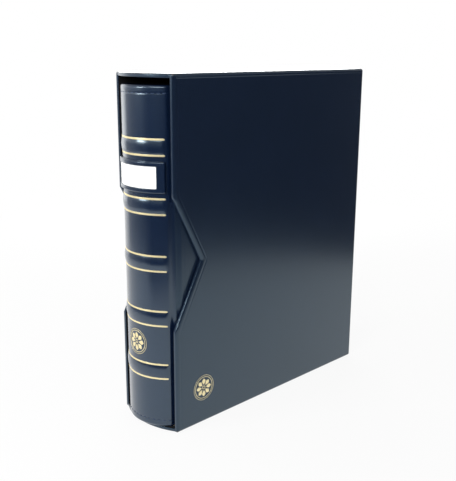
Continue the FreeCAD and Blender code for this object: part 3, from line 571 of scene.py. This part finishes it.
@dataclass
class SlipcaseCovering:
    """The slipcase's leatherette: padded lips round the mouth and notches, welded creases beside them."""

    thickness: float = 79.2
    depth: float = 268.0
    height: float = 330.0
    wall: float = 3.6
    corner: float = 2.4
    lip_bow: float = 9.5
    notch_depth: float = 32.0
    notch_height: float = 124.0
    notch_middle: float = 163.0
    notch_tip: float = 0.8
    tip_rows: float = 1.5
    shift_reach: float = 8.0
    shift_fade: float = 6.0
    edge_round: float = 0.9
    lip_width: float = 4.2
    lip_drop: float = 0.5
    inner_round: float = 0.6
    crease_reach: float = 1.2
    crease_depth: float = 0.12
    flat_rows: Pair = (0.8, 2.5)
    top_crease: float = 3.3
    top_crease_depth: float = 0.3
    seam_inset: float = 12.0
    seam_reach: float = 0.7
    seam_depth: float = 0.25

    def edge(self, height: float, distance: float) -> float:
        """Find a line that runs beside the mouth and the notch.

        Args:
            height: height on the case.
            distance: distance from the edge.

        Returns:
            The line's Y.
        """
        slope = self.notch_depth / (self.notch_height / 2)
        rise = math.hypot(height - self.notch_middle, self.notch_tip)
        mouth = -self.depth / 2
        slant = mouth + self.notch_depth + distance * math.hypot(1, slope) - slope * rise
        return max(mouth + distance, slant)

    def bow(self, across: float) -> float:
        """How far the top and bottom panels' front edge stands out of the mouth.

        Args:
            across: distance from the case's middle.

        Returns:
            The distance, 0 beside the arc.
        """
        inner = self.thickness / 2 - self.wall
        radius = (inner ** 2 + self.lip_bow ** 2) / (2 * self.lip_bow)
        return max(0.0, math.sqrt(radius ** 2 - across ** 2) - (radius - self.lip_bow))

    def row_height(self, height: float, distance: float) -> float:
        """Move a row beside the notch, so that rows meet the bends of every line.

        Args:
            height: height before the move.
            distance: distance from the edge.

        Returns:
            The moved height.
        """
        half = self.notch_height / 2
        slope = self.notch_depth / half
        shift = min(distance, self.shift_reach) * (math.hypot(1, slope) - 1) / slope
        rise = height - self.notch_middle
        share = abs(rise) / half
        reach = share if share <= 1 else max(0.0, 1 - (share - 1) * self.shift_fade)
        return height + math.copysign(shift * reach, rise)

    def lip(self) -> list[Pair]:
        """Shape the lip, from the lining outwards to past the crease.

        Returns:
            Distance from the edge and drop below the face, row by row.
        """
        found = [(along, self.wall - drop) for along, drop in reversed(quarter(self.inner_round, steps=4))]
        found += [(along, self.lip_drop + drop) for along, drop in quarter(self.edge_round, steps=5)]
        run = self.lip_width - self.edge_round
        for along in spread(self.edge_round, self.lip_width, step=0.55)[1:]:
            found.append((along, self.lip_drop * (1 - (along - self.edge_round) / run) ** 2))
        middle = self.lip_width + self.crease_reach
        for offset in spread(-self.crease_reach, self.crease_reach, step=0.28)[1:]:
            found.append((middle + offset, self.crease_depth * valley(offset, self.crease_reach)))
        end = middle + self.crease_reach
        return found + [(end + margin, 0.0) for margin in self.flat_rows]

    def relief(self, station: Station) -> float:
        """Drop of the creases that run from front to back: below the top edge, and the turn-over's seam.

        Args:
            station: where on the case's outline.

        Returns:
            The drop, 0 away from a crease.
        """
        if station.face in (Face.RIGHT, Face.LEFT):
            below = self.height - self.top_crease - station.v
            return self.top_crease_depth * valley(below, self.crease_reach)
        if station.face in (Face.TOP, Face.BOTTOM):
            seam = self.thickness / 2 - self.seam_inset
            return self.seam_depth * valley(abs(station.u) - seam, self.seam_reach)
        return 0.0

    def build(self, finishes: Finishes) -> None:
        """Make the covering as one skin, from the lining at the mouth to the back.

        Args:
            finishes: every material.
        """
        half = self.thickness / 2
        outline = RoundedRectangle(-half, half, 0.0, self.height, self.corner)
        notch = self.notch_height / 2
        crease = Detail(self.height - self.top_crease, self.crease_reach, step=0.3)
        heights = rows_with_detail(self.corner, self.height - self.corner, coarse=16.0, details=[crease])
        heights += spread(self.notch_middle - notch, self.notch_middle + notch, step=3.0)
        heights += [self.notch_middle - self.tip_rows, self.notch_middle + self.tip_rows]
        seam = half - self.seam_inset
        seams = [Detail(middle, self.seam_reach, step=0.35) for middle in (-seam, seam)]
        widths = rows_with_detail(-half + self.corner, half - self.corner, coarse=2.0, details=seams)
        stations = outline.outline(heights, widths)
        loops = []
        for distance, drop in self.lip():
            loops.append([self.rim_point(outline, station, distance, drop) for station in stations])
        back = self.depth / 2
        for along, drop in reversed(quarter(self.corner, steps=6)):
            flat = [outline.inset(station, max(drop, self.relief(station))) for station in stations]
            loops.append([(x, back - along, z) for x, z in flat])
        piece = loft("case_covering", loops, closed=True, cap_last=True)
        dress(piece, finishes.leatherette, "slipcase",
              ("case_wrap", "case_top_cover", "case_bottom_cover"))

    def rim_point(self, outline: RoundedRectangle, station: Station, distance: float, drop: float) -> Point:
        """One point of the lip or, past it, of the crease beside it.

        Args:
            outline: the case's outline.
            station: where on it.
            distance: distance from the edge.
            drop: drop below the face.

        Returns:
            The point.
        """
        deepest = max(drop, self.relief(station)) if distance > self.lip_width else drop
        x, z = outline.inset(station, deepest)
        if station.face in (Face.RIGHT, Face.LEFT):
            z = min(max(self.row_height(z, distance), 0.0), self.height)
            return x, self.edge(z, distance), z
        return x, -self.depth / 2 - self.bow(x) + distance, z


@dataclass
class SpineCovering:
    """The padded spine: raised bands, sewn creases near head and tail, and gilt lines.

    Its sides are drawn in a little towards the hinges, as tight vinyl does over a bent board.
    """

    axis_y: float = -106.7
    radius: float = 41.5
    reach_x: float = 35.2
    tail: float = 3.55
    head: float = 320.2
    roll: float = 2.3
    roll_flat: float = 0.6
    inner_radius: float = 36.1
    turn_in: float = 12.0
    hem_edge: float = 0.25
    hem_round: float = 0.4
    band_pitch: float = 52.0
    band_middle: float = 163.7
    bands: int = 5
    band_half: float = 6.3
    band_margin: float = 0.6
    band_height: float = 0.95
    band_fullness: float = 0.8
    band_end: float = 35.5
    band_fade: float = 5.0
    crease_inset: float = 6.6
    crease_reach: float = 1.5
    crease_depth: float = 0.16
    gilt_offset: float = 7.0
    gilt_width: float = 1.75
    gilt_height: float = 0.13
    gilt_half: float = 33.7
    gilt_sunk: float = 0.04
    gilt_shoulder: float = 0.8
    gilt_tip: float = 0.02
    side_draw: float = 0.3
    side_start: float = 6.0
    side_run: float = 18.0
    end_draw: float = 1.9
    end_start: float = 34.4
    end_run: float = 5.0
    stitch_pitch: float = 5.2
    stitch_length: float = 3.4
    stitch_width: float = 0.6
    stitch_reach: float = 36.0
    stitch_taper: float = 0.45
    stitch_bow: float = 0.35
    stitch_sunk: float = 0.15
    stitch_sides: int = 8

    def at(self, arc: float, radius: float, height: float) -> Point:
        """Place a point by arc length, positive towards the front cover, radius and height."""
        turn = arc / self.radius
        return radius * math.sin(turn), self.axis_y - radius * math.cos(turn), height

    def half_arc(self) -> float:
        """Half the length of the leather's arc."""
        return self.radius * math.asin(self.reach_x / self.radius)

    def band_heights(self) -> list[float]:
        """Middles of the raised bands."""
        return [self.band_middle + self.band_pitch * (n - (self.bands - 1) / 2) for n in range(self.bands)]

    def crease_heights(self) -> list[float]:
        """Middles of the sewn creases."""
        return [self.tail + self.crease_inset, self.head - self.crease_inset]

    def surface(self, arc: float, height: float) -> float:
        """Radius of the leather's face.

        Args:
            arc: length along the leather from its middle.
            height: height above the floor.

        Returns:
            The distance from the spine's axis.
        """
        side = abs(arc)
        rise = 0.0
        for middle in self.band_heights():
            share = min(1.0, abs(height - middle) / self.band_half)
            rise += self.band_height * (1 - share * share) ** self.band_fullness
        rise *= ease((self.band_end - side) / self.band_fade)
        for middle in self.crease_heights():
            rise -= self.crease_depth * valley(height - middle, self.crease_reach)
        rise -= self.side_draw * ease((side - self.side_start) / self.side_run)
        rise -= self.end_draw * ease((side - self.end_start) / self.end_run)
        return self.radius + rise

    def hem(self, end: float, inwards: int) -> list[Pair]:
        """The leather turned in at the head or the tail, from its raw edge out to the roll.

        Args:
            end: height of the head or the tail.
            inwards: 1 where the spine rises from that end, -1 where it falls.

        Returns:
            Drop below the face and height of each row.
        """
        inner = self.radius - self.inner_radius
        raw = end + inwards * self.turn_in
        rows = [(inner - self.hem_edge, raw), (inner, raw), (inner, end + inwards * self.hem_round),
                (inner - self.hem_round, end), (self.roll + self.roll_flat, end)]
        rolled = [(drop, end + inwards * along) for along, drop in quarter(self.roll, steps=6)]
        return rows + rolled[:-1]

    def skin(self) -> Piece:
        """The leather with its turned-in head and tail.

        Returns:
            The new piece.
        """
        reach = self.band_half + self.band_margin
        details = [Detail(middle, reach, step=0.6) for middle in self.band_heights()]
        details += [Detail(middle, self.crease_reach, step=0.3) for middle in self.crease_heights()]
        heights = rows_with_detail(self.tail + self.roll, self.head - self.roll, coarse=7.0, details=details)
        arcs = spread(-self.half_arc(), self.half_arc(), step=0.9)
        rows = self.hem(self.tail, 1)
        rows += [(0.0, height) for height in heights]
        rows += reversed(self.hem(self.head, -1))
        loops = [[self.at(arc, self.surface(arc, z) - drop, z) for arc in arcs] for drop, z in rows]
        return loft("spine_skin", loops)

    def gilt_lines(self) -> Piece:
        """Foil lines above and below each band, thin and with rounded ends.

        Returns:
            The new piece.
        """
        mesh = bmesh.new()
        half = self.gilt_width / 2
        for middle in self.band_heights():
            for side in (-1, 1):
                line = middle + side * self.gilt_offset
                rows = []
                for arc in spread(-self.gilt_half, self.gilt_half, step=0.6):
                    left = (self.gilt_half - abs(arc)) / half
                    width = half * math.sqrt(max(self.gilt_tip, 1 - max(0.0, 1 - left) ** 2))
                    rows.append(self.gilt_section(arc, line, width))
                add_rows(mesh, rows)
        return finish_mesh("spine_gilding", mesh)

    def gilt_section(self, arc: float, line: float, width: float) -> Loop:
        """Cross-section of a foil line, its edges pressed into the leather.

        Args:
            arc: where along the line.
            line: the line's height.
            width: half its width there.

        Returns:
            Four points across it.
        """
        shoulder = self.gilt_shoulder
        sides = ((-1.0, -self.gilt_sunk), (-shoulder, self.gilt_height), (shoulder, self.gilt_height),
                 (1.0, -self.gilt_sunk))
        return [self.at(arc, self.surface(arc, line + share * width) + rise, line + share * width)
                for share, rise in sides]

    def stitching(self) -> Piece:
        """Stitches that lie in the two creases.

        Returns:
            The new piece.
        """
        mesh = bmesh.new()
        count = int(2 * self.stitch_reach // self.stitch_pitch)
        for middle in self.crease_heights():
            for number in range(count + 1):
                start = (number - count / 2) * self.stitch_pitch - self.stitch_length / 2
                self.add_stitch(mesh, start, middle)
        return finish_mesh("spine_stitching", mesh)

    def add_stitch(self, mesh: Mesh, start: float, height: float) -> None:
        """One stitch: a short thread that dives into the leather at both ends.

        Args:
            mesh: the mesh that gets it.
            start: arc length at its first end.
            height: its height.
        """
        rows = []
        for share in spread(0.0, 1.0, step=0.125):
            arc = start + share * self.stitch_length
            bow = math.sin(math.pi * share)
            thick = self.stitch_width / 2 * (1 - self.stitch_taper * (1 - bow))
            middle = self.surface(arc, height) + self.stitch_bow * bow - self.stitch_sunk
            ring = []
            for number in range(self.stitch_sides):
                turn = 2 * math.pi * number / self.stitch_sides
                ring.append(self.at(arc, middle + thick * math.cos(turn), height + thick * math.sin(turn)))
            rows.append(ring + ring[:1])
        add_rows(mesh, rows)

    def build(self, finishes: Finishes) -> None:
        """Make and dress the spine's leather, foil and thread.

        Args:
            finishes: every material.
        """
        skin = dress(self.skin(), finishes.padded_shaded_leatherette, "album",
                     ("spine_leather", "spine_padding"))
        dress(self.gilt_lines(), finishes.foil, "album", ("spine_gilt_lines",))
        dress(self.stitching(), finishes.thread, "album")


@dataclass
class LabelHolder:
    """The raised holder on the spine: a padded back and a padded bezel that is open at the top.

    Each edge is a row of pairs: distance from its outline, and sink below the bezel's face.
    """

    spine: SpineCovering
    middle: float = 241.7
    height: float = 28.0
    length: float = 68.0
    corner: float = 1.8
    foot: float = 41.3
    base_top: float = 42.25
    base_break: float = 0.15
    base_margin: float = 3.0
    face: float = 43.7
    slot_top: float = 42.9
    slot_reach: float = 28.5
    window_height: float = 19.5
    window_length: float = 52.0
    window_corner: float = 0.8
    columns: int = 30
    rows: int = 6
    outer_edge: Edge = ((0.0, 1.6), (0.3, 0.95), (0.6, 0.42), (0.85, 0.14), (1.2, 0.03), (1.7, 0.0))
    window_edge: Edge = ((0.9, 0.0), (0.4, 0.06), (0.12, 0.18), (0.0, 0.4), (0.0, 0.68))

    def rectangle(self, length: float, height: float, corner: float) -> RoundedRectangle:
        """An outline about the holder's middle, along the arc and up."""
        low = self.middle - height / 2
        return RoundedRectangle(-length / 2, length / 2, low, self.middle + height / 2, corner)

    def outer(self) -> RoundedRectangle:
        """The holder's outline."""
        return self.rectangle(self.length, self.height, self.corner)

    def window(self) -> RoundedRectangle:
        """The window's outline."""
        return self.rectangle(self.window_length, self.window_height, self.window_corner)

    def walk(self, outline: RoundedRectangle) -> list[Station]:
        """Walk round an outline by the same number of stations, whichever outline it is.

        Args:
            outline: the outline.

        Returns:
            Stations in order.
        """
        reach_u = (outline.high_u - outline.low_u) / 2 - outline.radius
        reach_v = (outline.high_v - outline.low_v) / 2 - outline.radius
        widths = [reach_u * (2 * number / self.columns - 1) for number in range(1, self.columns)]
        heights = [self.middle + reach_v * (2 * number / self.rows - 1) for number in range(1, self.rows)]
        return outline.outline(heights, widths)

    def bent(self, outline: RoundedRectangle, drop: float, radius: Callable[[Station], float]) -> Loop:
        """Lay an outline, moved inwards by a drop, round the spine at each station's radius."""
        flat = [(*outline.inset(station, drop), radius(station)) for station in self.walk(outline)]
        return [self.spine.at(arc, distance, height) for arc, height, distance in flat]

    def wall_foot(self, station: Station) -> float:
        """Radius at which the bezel's outer wall starts; higher over the card's slot at the top."""
        over_slot = station.face is Face.TOP and abs(station.u) <= self.slot_reach
        return self.slot_top if over_slot else self.base_top - self.base_break

    def base(self) -> Piece:
        """The padded back that is glued to the spine.

        Returns:
            The new piece.
        """
        shape = ((0.0, self.foot), (0.0, self.base_top - self.base_break), (self.base_break, self.base_top),
                 (self.base_margin, self.base_top))
        loops = [self.bent(self.outer(), drop, lambda _, r=r: r) for drop, r in shape]
        loops.append(self.bent(self.window(), 0.0, lambda _: self.base_top))
        return loft("label_back", loops, closed=True)

    def bezel(self) -> Piece:
        """The padded frame round the window.

        Returns:
            The new piece.
        """
        loops = []
        for drop, sink in self.outer_edge:
            loops.append(self.bent(self.outer(), drop,
                                   lambda station, s=sink: max(self.face - s, self.wall_foot(station))))
        for grow, sink in self.window_edge:
            loops.append(self.bent(self.window(), -grow, lambda _, s=sink: self.face - s))
        return loft("label_bezel", loops, closed=True)

    def build(self, finishes: Finishes) -> None:
        """Make and dress the holder; film and card keep their solids.

        Args:
            finishes: every material.
        """
        back = dress(self.base(), finishes.padded_shaded_leatherette, "album")
        bezel = dress(self.bezel(), finishes.padded_shaded_leatherette, "album", ("label_frame",))


@dataclass
class Cover:
    """One cover's leather and the grooved hinge that joins it to the spine."""

    side: Side
    face: float = 35.2
    inside: float = 31.95
    low: float = 3.6
    high: float = 319.0
    spine_edge: float = -119.6
    fore_edge: float = 128.9
    rounding: float = 1.2
    round_steps: int = 4
    flat_margin: float = 4.0
    hinge_start: float = -128.1
    hinge_end: float = -118.1
    hinge_thickness: float = 0.7
    hinge_end_rows: tuple[float, ...] = (0.0, 0.4, 2.0)
    hinge_flat_margin: float = 8.0
    groove_depth: float = 1.8
    groove_inset: float = 0.1
    groove_reach: float = 6.5

    def slab(self) -> Piece:
        """The covered board, with rounded edges.

        Returns:
            The new piece.
        """
        outline = RoundedRectangle(self.inside, self.face, self.low, self.high, self.rounding,
                                   self.round_steps)
        margin = self.flat_margin
        stations = outline.outline(spread(self.low + margin, self.high - margin, step=30.0), [])
        sign = self.side.value
        edge = quarter(self.rounding, self.round_steps)
        columns = [(self.spine_edge + along, drop) for along, drop in edge]
        columns += [(self.spine_edge + margin, 0.0), (self.fore_edge - margin, 0.0)]
        columns += [(self.fore_edge - along, drop) for along, drop in reversed(edge)]
        loops = []
        for y, drop in columns:
            flat = [outline.inset(station, drop) for station in stations]
            loops.append([(sign * x, y, z) for x, z in flat])
        name = f"{self.side.name.lower()}_cover_skin"
        return loft(name, loops, closed=True, cap_first=True, cap_last=True)

    def groove(self) -> list[Pair]:
        """X and Y of the hinge's face, from the spine to the cover."""
        top = self.face - self.groove_inset
        return [(top - self.groove_depth * valley(y - self.hinge_start, self.groove_reach), y)
                for y in spread(self.hinge_start, self.hinge_end, step=0.9)]

    def hinge(self) -> Piece:
        """The leather between spine and cover, pressed into a shallow groove.

        Returns:
            The new piece.
        """
        groove = self.groove()
        sign = self.side.value
        outer = [(sign * x, y) for x, y in groove]
        inner = [(sign * (x - self.hinge_thickness), y) for x, y in reversed(groove)]
        margin = self.hinge_flat_margin
        heights = [self.low + rise for rise in self.hinge_end_rows]
        heights += spread(self.low + margin, self.high - margin, step=40.0)
        heights += [self.high - fall for fall in reversed(self.hinge_end_rows)]
        loops = [[(x, y, z) for x, y in outer + inner] for z in heights]
        return loft(f"{self.side.name.lower()}_hinge", loops, closed=True, cap_first=True, cap_last=True)

    def build(self, finishes: Finishes) -> None:
        """Make and dress the cover's leather; make its hinge in the same leatherette, between spine and
        cover.

        Args:
            finishes: every material.
        """
        name = self.side.name.lower()
        dress(self.slab(), finishes.leatherette, f"{name}_cover", (f"{name}_cover_leather",))
        hinge = self.hinge()
        hinge.data.materials.append(finishes.leatherette)
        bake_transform(hinge)
        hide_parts(f"{name}_hinge_strip")
        LOG.info("made %s between album and cover", hinge.name)


@dataclass
class Rosette:
    """A plain eight-petalled ornament in gilt foil, laid on a surface.

    The petals' lengths and the rings' radii are shares of its size.
    """

    name: str
    size: float
    lay: Callable[[float, float], Point]
    petals: int = 8
    petal_start: float = 0.1
    petal_end: float = 0.36
    petal_half: float = 0.085
    petal_lean: float = 1.35
    petal_tip: float = 0.02
    centre: float = 0.06
    inner_ring: float = 0.42
    ring_width: float = 0.55
    centre_weight: float = 1.2
    outer_weight: float = 0.7
    foil: float = 0.06

    def petal(self, mesh: Mesh, turn: float) -> None:
        """One petal: a lens that is widest past its middle.

        Args:
            mesh: the mesh that gets it.
            turn: its direction in radians.
        """
        rows = []
        for share in spread(0.0, 1.0, step=0.1):
            along = self.size * (self.petal_start + (self.petal_end - self.petal_start) * share)
            swell = math.sin(math.pi * share ** self.petal_lean)
            half = self.size * self.petal_half * swell + self.petal_tip
            rows.append([self.turned(along, across * half, turn) for across in (-1.0, -0.5, 0.0, 0.5, 1.0)])
        add_rows(mesh, rows)

    def turned(self, along: float, across: float, turn: float) -> Point:
        """Turn a point of the flat ornament and lay it on the surface.

        Args:
            along: distance from the centre.
            across: distance to the side.
            turn: the direction in radians.

        Returns:
            The point.
        """
        u = along * math.cos(turn) - across * math.sin(turn)
        v = along * math.sin(turn) + across * math.cos(turn)
        return self.lay(u, v)

    def ring(self, mesh: Mesh, radius: float, width: float) -> None:
        """A thin circle.

        Args:
            mesh: the mesh that gets it.
            radius: its radius.
            width: its line's width.
        """
        turns = spread(0.0, 2 * math.pi, step=math.pi / 36)
        rows = [[self.turned(radius + side * width / 2, 0.0, turn) for side in (-1, 0, 1)] for turn in turns]
        add_rows(mesh, rows)

    def build(self, finishes: Finishes, body: str) -> None:
        """Make the petals, a centre and a double ring.

        Args:
            finishes: every material.
            body: the moving body it rides on.
        """
        mesh = bmesh.new()
        for number in range(self.petals):
            self.petal(mesh, 2 * math.pi * number / self.petals)
        self.ring(mesh, self.size * self.centre, self.ring_width * self.centre_weight)
        self.ring(mesh, self.size * self.inner_ring, self.ring_width)
        self.ring(mesh, (self.size - self.ring_width) / 2, self.ring_width * self.outer_weight)
        piece = finish_mesh(self.name, mesh)
        foil = piece.modifiers.new("foil", "SOLIDIFY")
        foil.thickness = self.foil * MM
        foil.offset = 0.0
        dress(piece, finishes.foil, body)


@dataclass
class PlainSolids:
    """Pieces whose solids already have the right shape, and only need a finish."""

    leaves: int = 8

    def by_finish(self, finishes: Finishes) -> list[tuple[Material, list[str]]]:
        """List the solids of each finish.

        Args:
            finishes: every material.

        Returns:
            Each material with its solids' names.
        """
        case = ("right", "left", "back", "top", "bottom")
        return [
            (finishes.board, [f"case_{place}_board" for place in case]),
            (finishes.lining, [f"case_{place}_lining" for place in case] + ["spine_lining"]),
            (finishes.board, ["spine_board", "front_cover_board", "back_cover_board"]),
            (finishes.endpaper, ["front_endpaper", "back_endpaper"]),
            (finishes.card, ["label_card"]),
            (finishes.film, ["label_window"] + [f"pocket_strips_{n + 1}" for n in range(self.leaves)]),
            (finishes.leaf, [f"stock_leaf_{n + 1}" for n in range(self.leaves)]),
            (finishes.bed, ["mechanism_bed"]),
            (finishes.nickel, ["ring_channel", "channel_rivets", "right_half_rings", "left_half_rings",
                               "upper_lever", "lower_lever"]),
            (finishes.steel, ["right_ring_blade", "left_ring_blade", "upper_lever_pin", "lower_lever_pin"]),
        ]

    def build(self, finishes: Finishes) -> None:
        """Dress the solids.

        Args:
            finishes: every material.
        """
        for material, names in self.by_finish(finishes):
            for name in names:
                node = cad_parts[name]
                node.data.materials.clear()
                node.data.materials.append(material)
                LOG.info("dressed %s with %s", name, material.name)


# Studio


@dataclass(frozen=True)
class Lamp:
    """One soft lamp: its place, aim and size in metres, and its power in watts."""

    name: str
    place: Point
    aim: Point
    width: float
    height: float
    power: float

    def hang(self) -> None:
        """Put the lamp in the scene and turn it to its aim."""
        data = bpy.data.lights.new(self.name, "AREA")
        data.shape = "RECTANGLE"
        data.size = self.width
        data.size_y = self.height
        data.energy = self.power
        lamp = put_in_scene(self.name, data)
        lamp.location = self.place
        way = [end - start for start, end in zip(self.place, self.aim)]
        flat = math.hypot(way[0], way[1])
        lamp.rotation_euler = (math.atan2(flat, -way[2]), 0.0, math.atan2(-way[0], way[1]))


@dataclass
class Studio:
    """A white table in a white room, dim overhead, with a dark cloth that only reflections see."""

    floor_reach: float = 3.0
    floor_fade_start: float = 0.55
    floor_fade_end: float = 1.1
    floor_glow: float = 0.9
    floor_colour: str = "#f7f7f7"
    cloth_radius: float = 0.55
    cloth_height: float = 0.48
    cloth_low: float = 0.3
    cloth_far: float = 0.72
    cloth_start: float = -155.0
    cloth_rise: float = -100.0
    cloth_full: float = -84.0
    cloth_end: float = 70.0
    cloth_pale: str = "#cccccc"
    cloth_black: str = "#0c0c10"
    ceiling: float = 0.35
    ceiling_start: float = 0.15
    ceiling_full: float = 0.55
    camera_place: Point = (0.51857, -0.53753, 0.35015)
    camera_turn: float = 45.6
    camera_tilt: float = 14.581
    camera_roll: float = 0.267
    camera_lens: float = 55.185

    def floor(self) -> None:
        """A white sheet, nearly white to the camera and in reflections, which fades out with no horizon."""
        reach = self.floor_reach
        corners = [(-reach, -reach, 0), (reach, -reach, 0), (reach, reach, 0), (-reach, reach, 0)]
        data = bpy.data.meshes.new("floor")
        data.from_pydata(corners, [], [(0, 1, 2, 3)])
        floor = put_in_scene("floor", data)
        material, shader = new_material("white_paper_sweep_matt", {
            "Base Color": linear(self.floor_colour), "Roughness": 0.9, "Specular IOR Level": 0.0})
        tree = material.node_tree
        place = add_node(tree, "ShaderNodeTexCoord").outputs["Object"]
        away = add_node(tree, "ShaderNodeVectorMath", {"operation": "LENGTH", "Vector": place})
        fade = add_node(tree, "ShaderNodeMapRange", {
            "interpolation_type": "SMOOTHSTEP", "From Min": self.floor_fade_start,
            "From Max": self.floor_fade_end, "To Min": 1.0, "To Max": 0.0,
            "Value": away.outputs["Value"]})
        configure(shader, {"Alpha": fade.outputs["Result"]})
        seen = self.shown(tree, ("Is Camera Ray", "Is Glossy Ray", "Is Transmission Ray"))
        share = add_node(tree, "ShaderNodeMapRange", {"To Max": self.floor_glow, "Value": seen})
        glow = add_node(tree, "ShaderNodeEmission")
        mix = add_node(tree, "ShaderNodeMixShader", {"Fac": share.outputs["Result"],
                                                     1: shader.outputs["BSDF"],
                                                     2: glow.outputs["Emission"]})
        configure(tree.nodes["Material Output"], {"Surface": mix.outputs["Shader"]})
        data.materials.append(material)

    def shown(self, tree: Tree, kinds: Sequence[str]) -> Socket:
        """Tell whether a ray is of one of some kinds.

        Args:
            tree: the tree that asks.
            kinds: outputs of the light path.

        Returns:
            1 for such a ray, 0 for others.
        """
        ray = add_node(tree, "ShaderNodeLightPath")
        found = ray.outputs[kinds[0]]
        for kind in kinds[1:]:
            either = add_node(tree, "ShaderNodeMath",
                              {"operation": "MAXIMUM", 0: found, 1: ray.outputs[kind]})
            found = either.outputs["Value"]
        return found

    def cloth_points(self, degrees: float) -> Loop:
        """Foot and top of the cloth in one direction; on the left it stands lower and further away.

        Args:
            degrees: the direction.

        Returns:
            The two points.
        """
        share = ease((degrees - self.cloth_rise) / (self.cloth_full - self.cloth_rise))
        away = self.cloth_far + (self.cloth_radius - self.cloth_far) * share
        top = self.cloth_low + (self.cloth_height - self.cloth_low) * share
        x = away * math.cos(math.radians(degrees))
        y = away * math.sin(math.radians(degrees))
        return [(x, y, 0.0), (x, y, top)]

    def cloth(self) -> None:
        """A standing arc of cloth, pale at its left end and black further on, that only reflections see."""
        turns = spread(self.cloth_start, self.cloth_end, step=5.0)
        points = [point for turn in turns for point in self.cloth_points(turn)]
        faces = [(2 * n, 2 * n + 2, 2 * n + 3, 2 * n + 1) for n in range(len(turns) - 1)]
        data = bpy.data.meshes.new("dark_cloth")
        data.from_pydata(points, [], faces)
        cloth = put_in_scene("dark_cloth", data)
        matt = {"Roughness": 1.0, "Specular IOR Level": 0.0}
        material, shader = new_material("black_studio_cloth_matt", matt)
        tree = material.node_tree
        place = add_node(tree, "ShaderNodeTexCoord").outputs["Object"]
        turn = add_node(tree, "ShaderNodeTexGradient", {"gradient_type": "RADIAL", "Vector": place})
        # The gradient rises from 0 to 1 between -180 and 180 degrees.
        ends = ((self.cloth_start, self.cloth_pale), (self.cloth_full, self.cloth_black))
        stops = [(degrees / 360 + 0.5, linear(colour)) for degrees, colour in ends]
        ramp = add_node(tree, "ShaderNodeValToRGB", {"stops": stops, "Fac": turn.outputs["Fac"]})
        configure(shader, {"Base Color": ramp.outputs["Color"]})
        data.materials.append(material)
        cloth.visible_camera = False
        cloth.visible_diffuse = False
        cloth.visible_transmission = False
        cloth.visible_shadow = False

    def surround(self) -> None:
        """White to the camera and near the horizon, dim overhead."""
        world = bpy.data.worlds.new("studio")
        bpy.context.scene.world = world
        world.use_nodes = True
        tree = world.node_tree
        tree.nodes.clear()
        way = add_node(tree, "ShaderNodeTexCoord").outputs["Generated"]
        parts = add_node(tree, "ShaderNodeSeparateXYZ", {"Vector": way})
        dim = add_node(tree, "ShaderNodeMapRange", {
            "interpolation_type": "SMOOTHSTEP", "From Min": self.ceiling_start,
            "From Max": self.ceiling_full, "To Min": 1.0, "To Max": self.ceiling,
            "Value": parts.outputs["Z"]})
        seen = self.shown(tree, ("Is Camera Ray", "Is Transmission Ray"))
        level = add_node(tree, "ShaderNodeMath",
                         {"operation": "MAXIMUM", 0: dim.outputs["Result"], 1: seen})
        light = add_node(tree, "ShaderNodeBackground",
                         {"Color": (1.0, 1.0, 1.0, 1.0), "Strength": level.outputs["Value"]})
        add_node(tree, "ShaderNodeOutputWorld", {"Surface": light.outputs["Background"]})

    def lamps(self) -> list[Lamp]:
        """Four soft lamps: two on the album, one on the spine's head and one on the case's top edge.

        Returns:
            The lamps.
        """
        album = (0.0, 0.0, 0.15)
        spine_head = (0.0, -0.148, 0.27)
        top_edge = (0.0, 0.0, 0.33)
        return [
            Lamp("front_softbox", place=(0.42, -1.05, 0.75), aim=album, width=0.6, height=0.6, power=7.5),
            Lamp("left_softbox", place=(-1.1, -0.2, 0.4), aim=album, width=0.7, height=0.8, power=1.0),
            Lamp("left_window", place=(-0.36, -1.25, 0.62), aim=spine_head, width=0.45, height=0.18,
                 power=6.0),
            Lamp("back_softbox", place=(-0.8, 0.75, 0.35), aim=top_edge, width=0.8, height=0.4, power=6.0),
        ]

    def camera(self) -> None:
        """Stand the camera where the picture was taken from."""
        data = bpy.data.cameras.new("camera")
        data.sensor_width = 36.0
        data.lens = self.camera_lens
        data.clip_start = 0.01
        camera = put_in_scene("camera", data)
        camera.location = self.camera_place
        pose = Matrix.Identity(3)
        turns = ((self.camera_turn, "Z"), (90 - self.camera_tilt, "X"), (self.camera_roll, "Z"))
        for degrees, axis in turns:
            pose = pose @ Matrix.Rotation(math.radians(degrees), 3, axis)
        camera.rotation_euler = pose.to_euler()
        bpy.context.scene.camera = camera

    def build(self) -> None:
        """Set the stage, the light and the camera."""
        self.floor()
        self.cloth()
        self.surround()
        for lamp in self.lamps():
            lamp.hang()
        self.camera()
        bpy.context.scene.view_settings.view_transform = "Standard"
        LOG.info("made the studio")


# The whole album


def add_rosettes(case: SlipcaseCovering, spine: SpineCovering, finishes: Finishes) -> None:
    """Lay one rosette low on the spine and one in the lower front corner of the case's side.

    Args:
        case: the slipcase's covering.
        spine: the spine's covering.
        finishes: every material.
    """
    spine_lift = 0.06
    spine_height = 85.5
    spine_face = spine.radius + spine_lift
    on_spine = Rosette("spine_rosette", size=25.0,
                       lay=lambda u, v: spine.at(u, spine_face, spine_height + v))
    on_spine.build(finishes, "album")
    case_lift = 0.04
    case_y = -100.0
    case_height = 36.0
    case_face = case.thickness / 2 + case_lift
    on_case = Rosette("case_rosette", size=25.5,
                      lay=lambda u, v: (case_face, case_y + u, case_height + v))
    on_case.build(finishes, "slipcase")


def main() -> None:
    """Build the album, its slipcase and the studio."""
    logging.basicConfig(level=logging.INFO, format="%(name)s: %(message)s")
    finishes = Finishes()
    case = SlipcaseCovering()
    case.build(finishes)
    spine = SpineCovering()
    spine.build(finishes)
    LabelHolder(spine).build(finishes)
    for side in Side:
        Cover(side).build(finishes)
    add_rosettes(case, spine, finishes)
    PlainSolids().build(finishes)
    Studio().build()


if __name__ == "__main__":
    main()
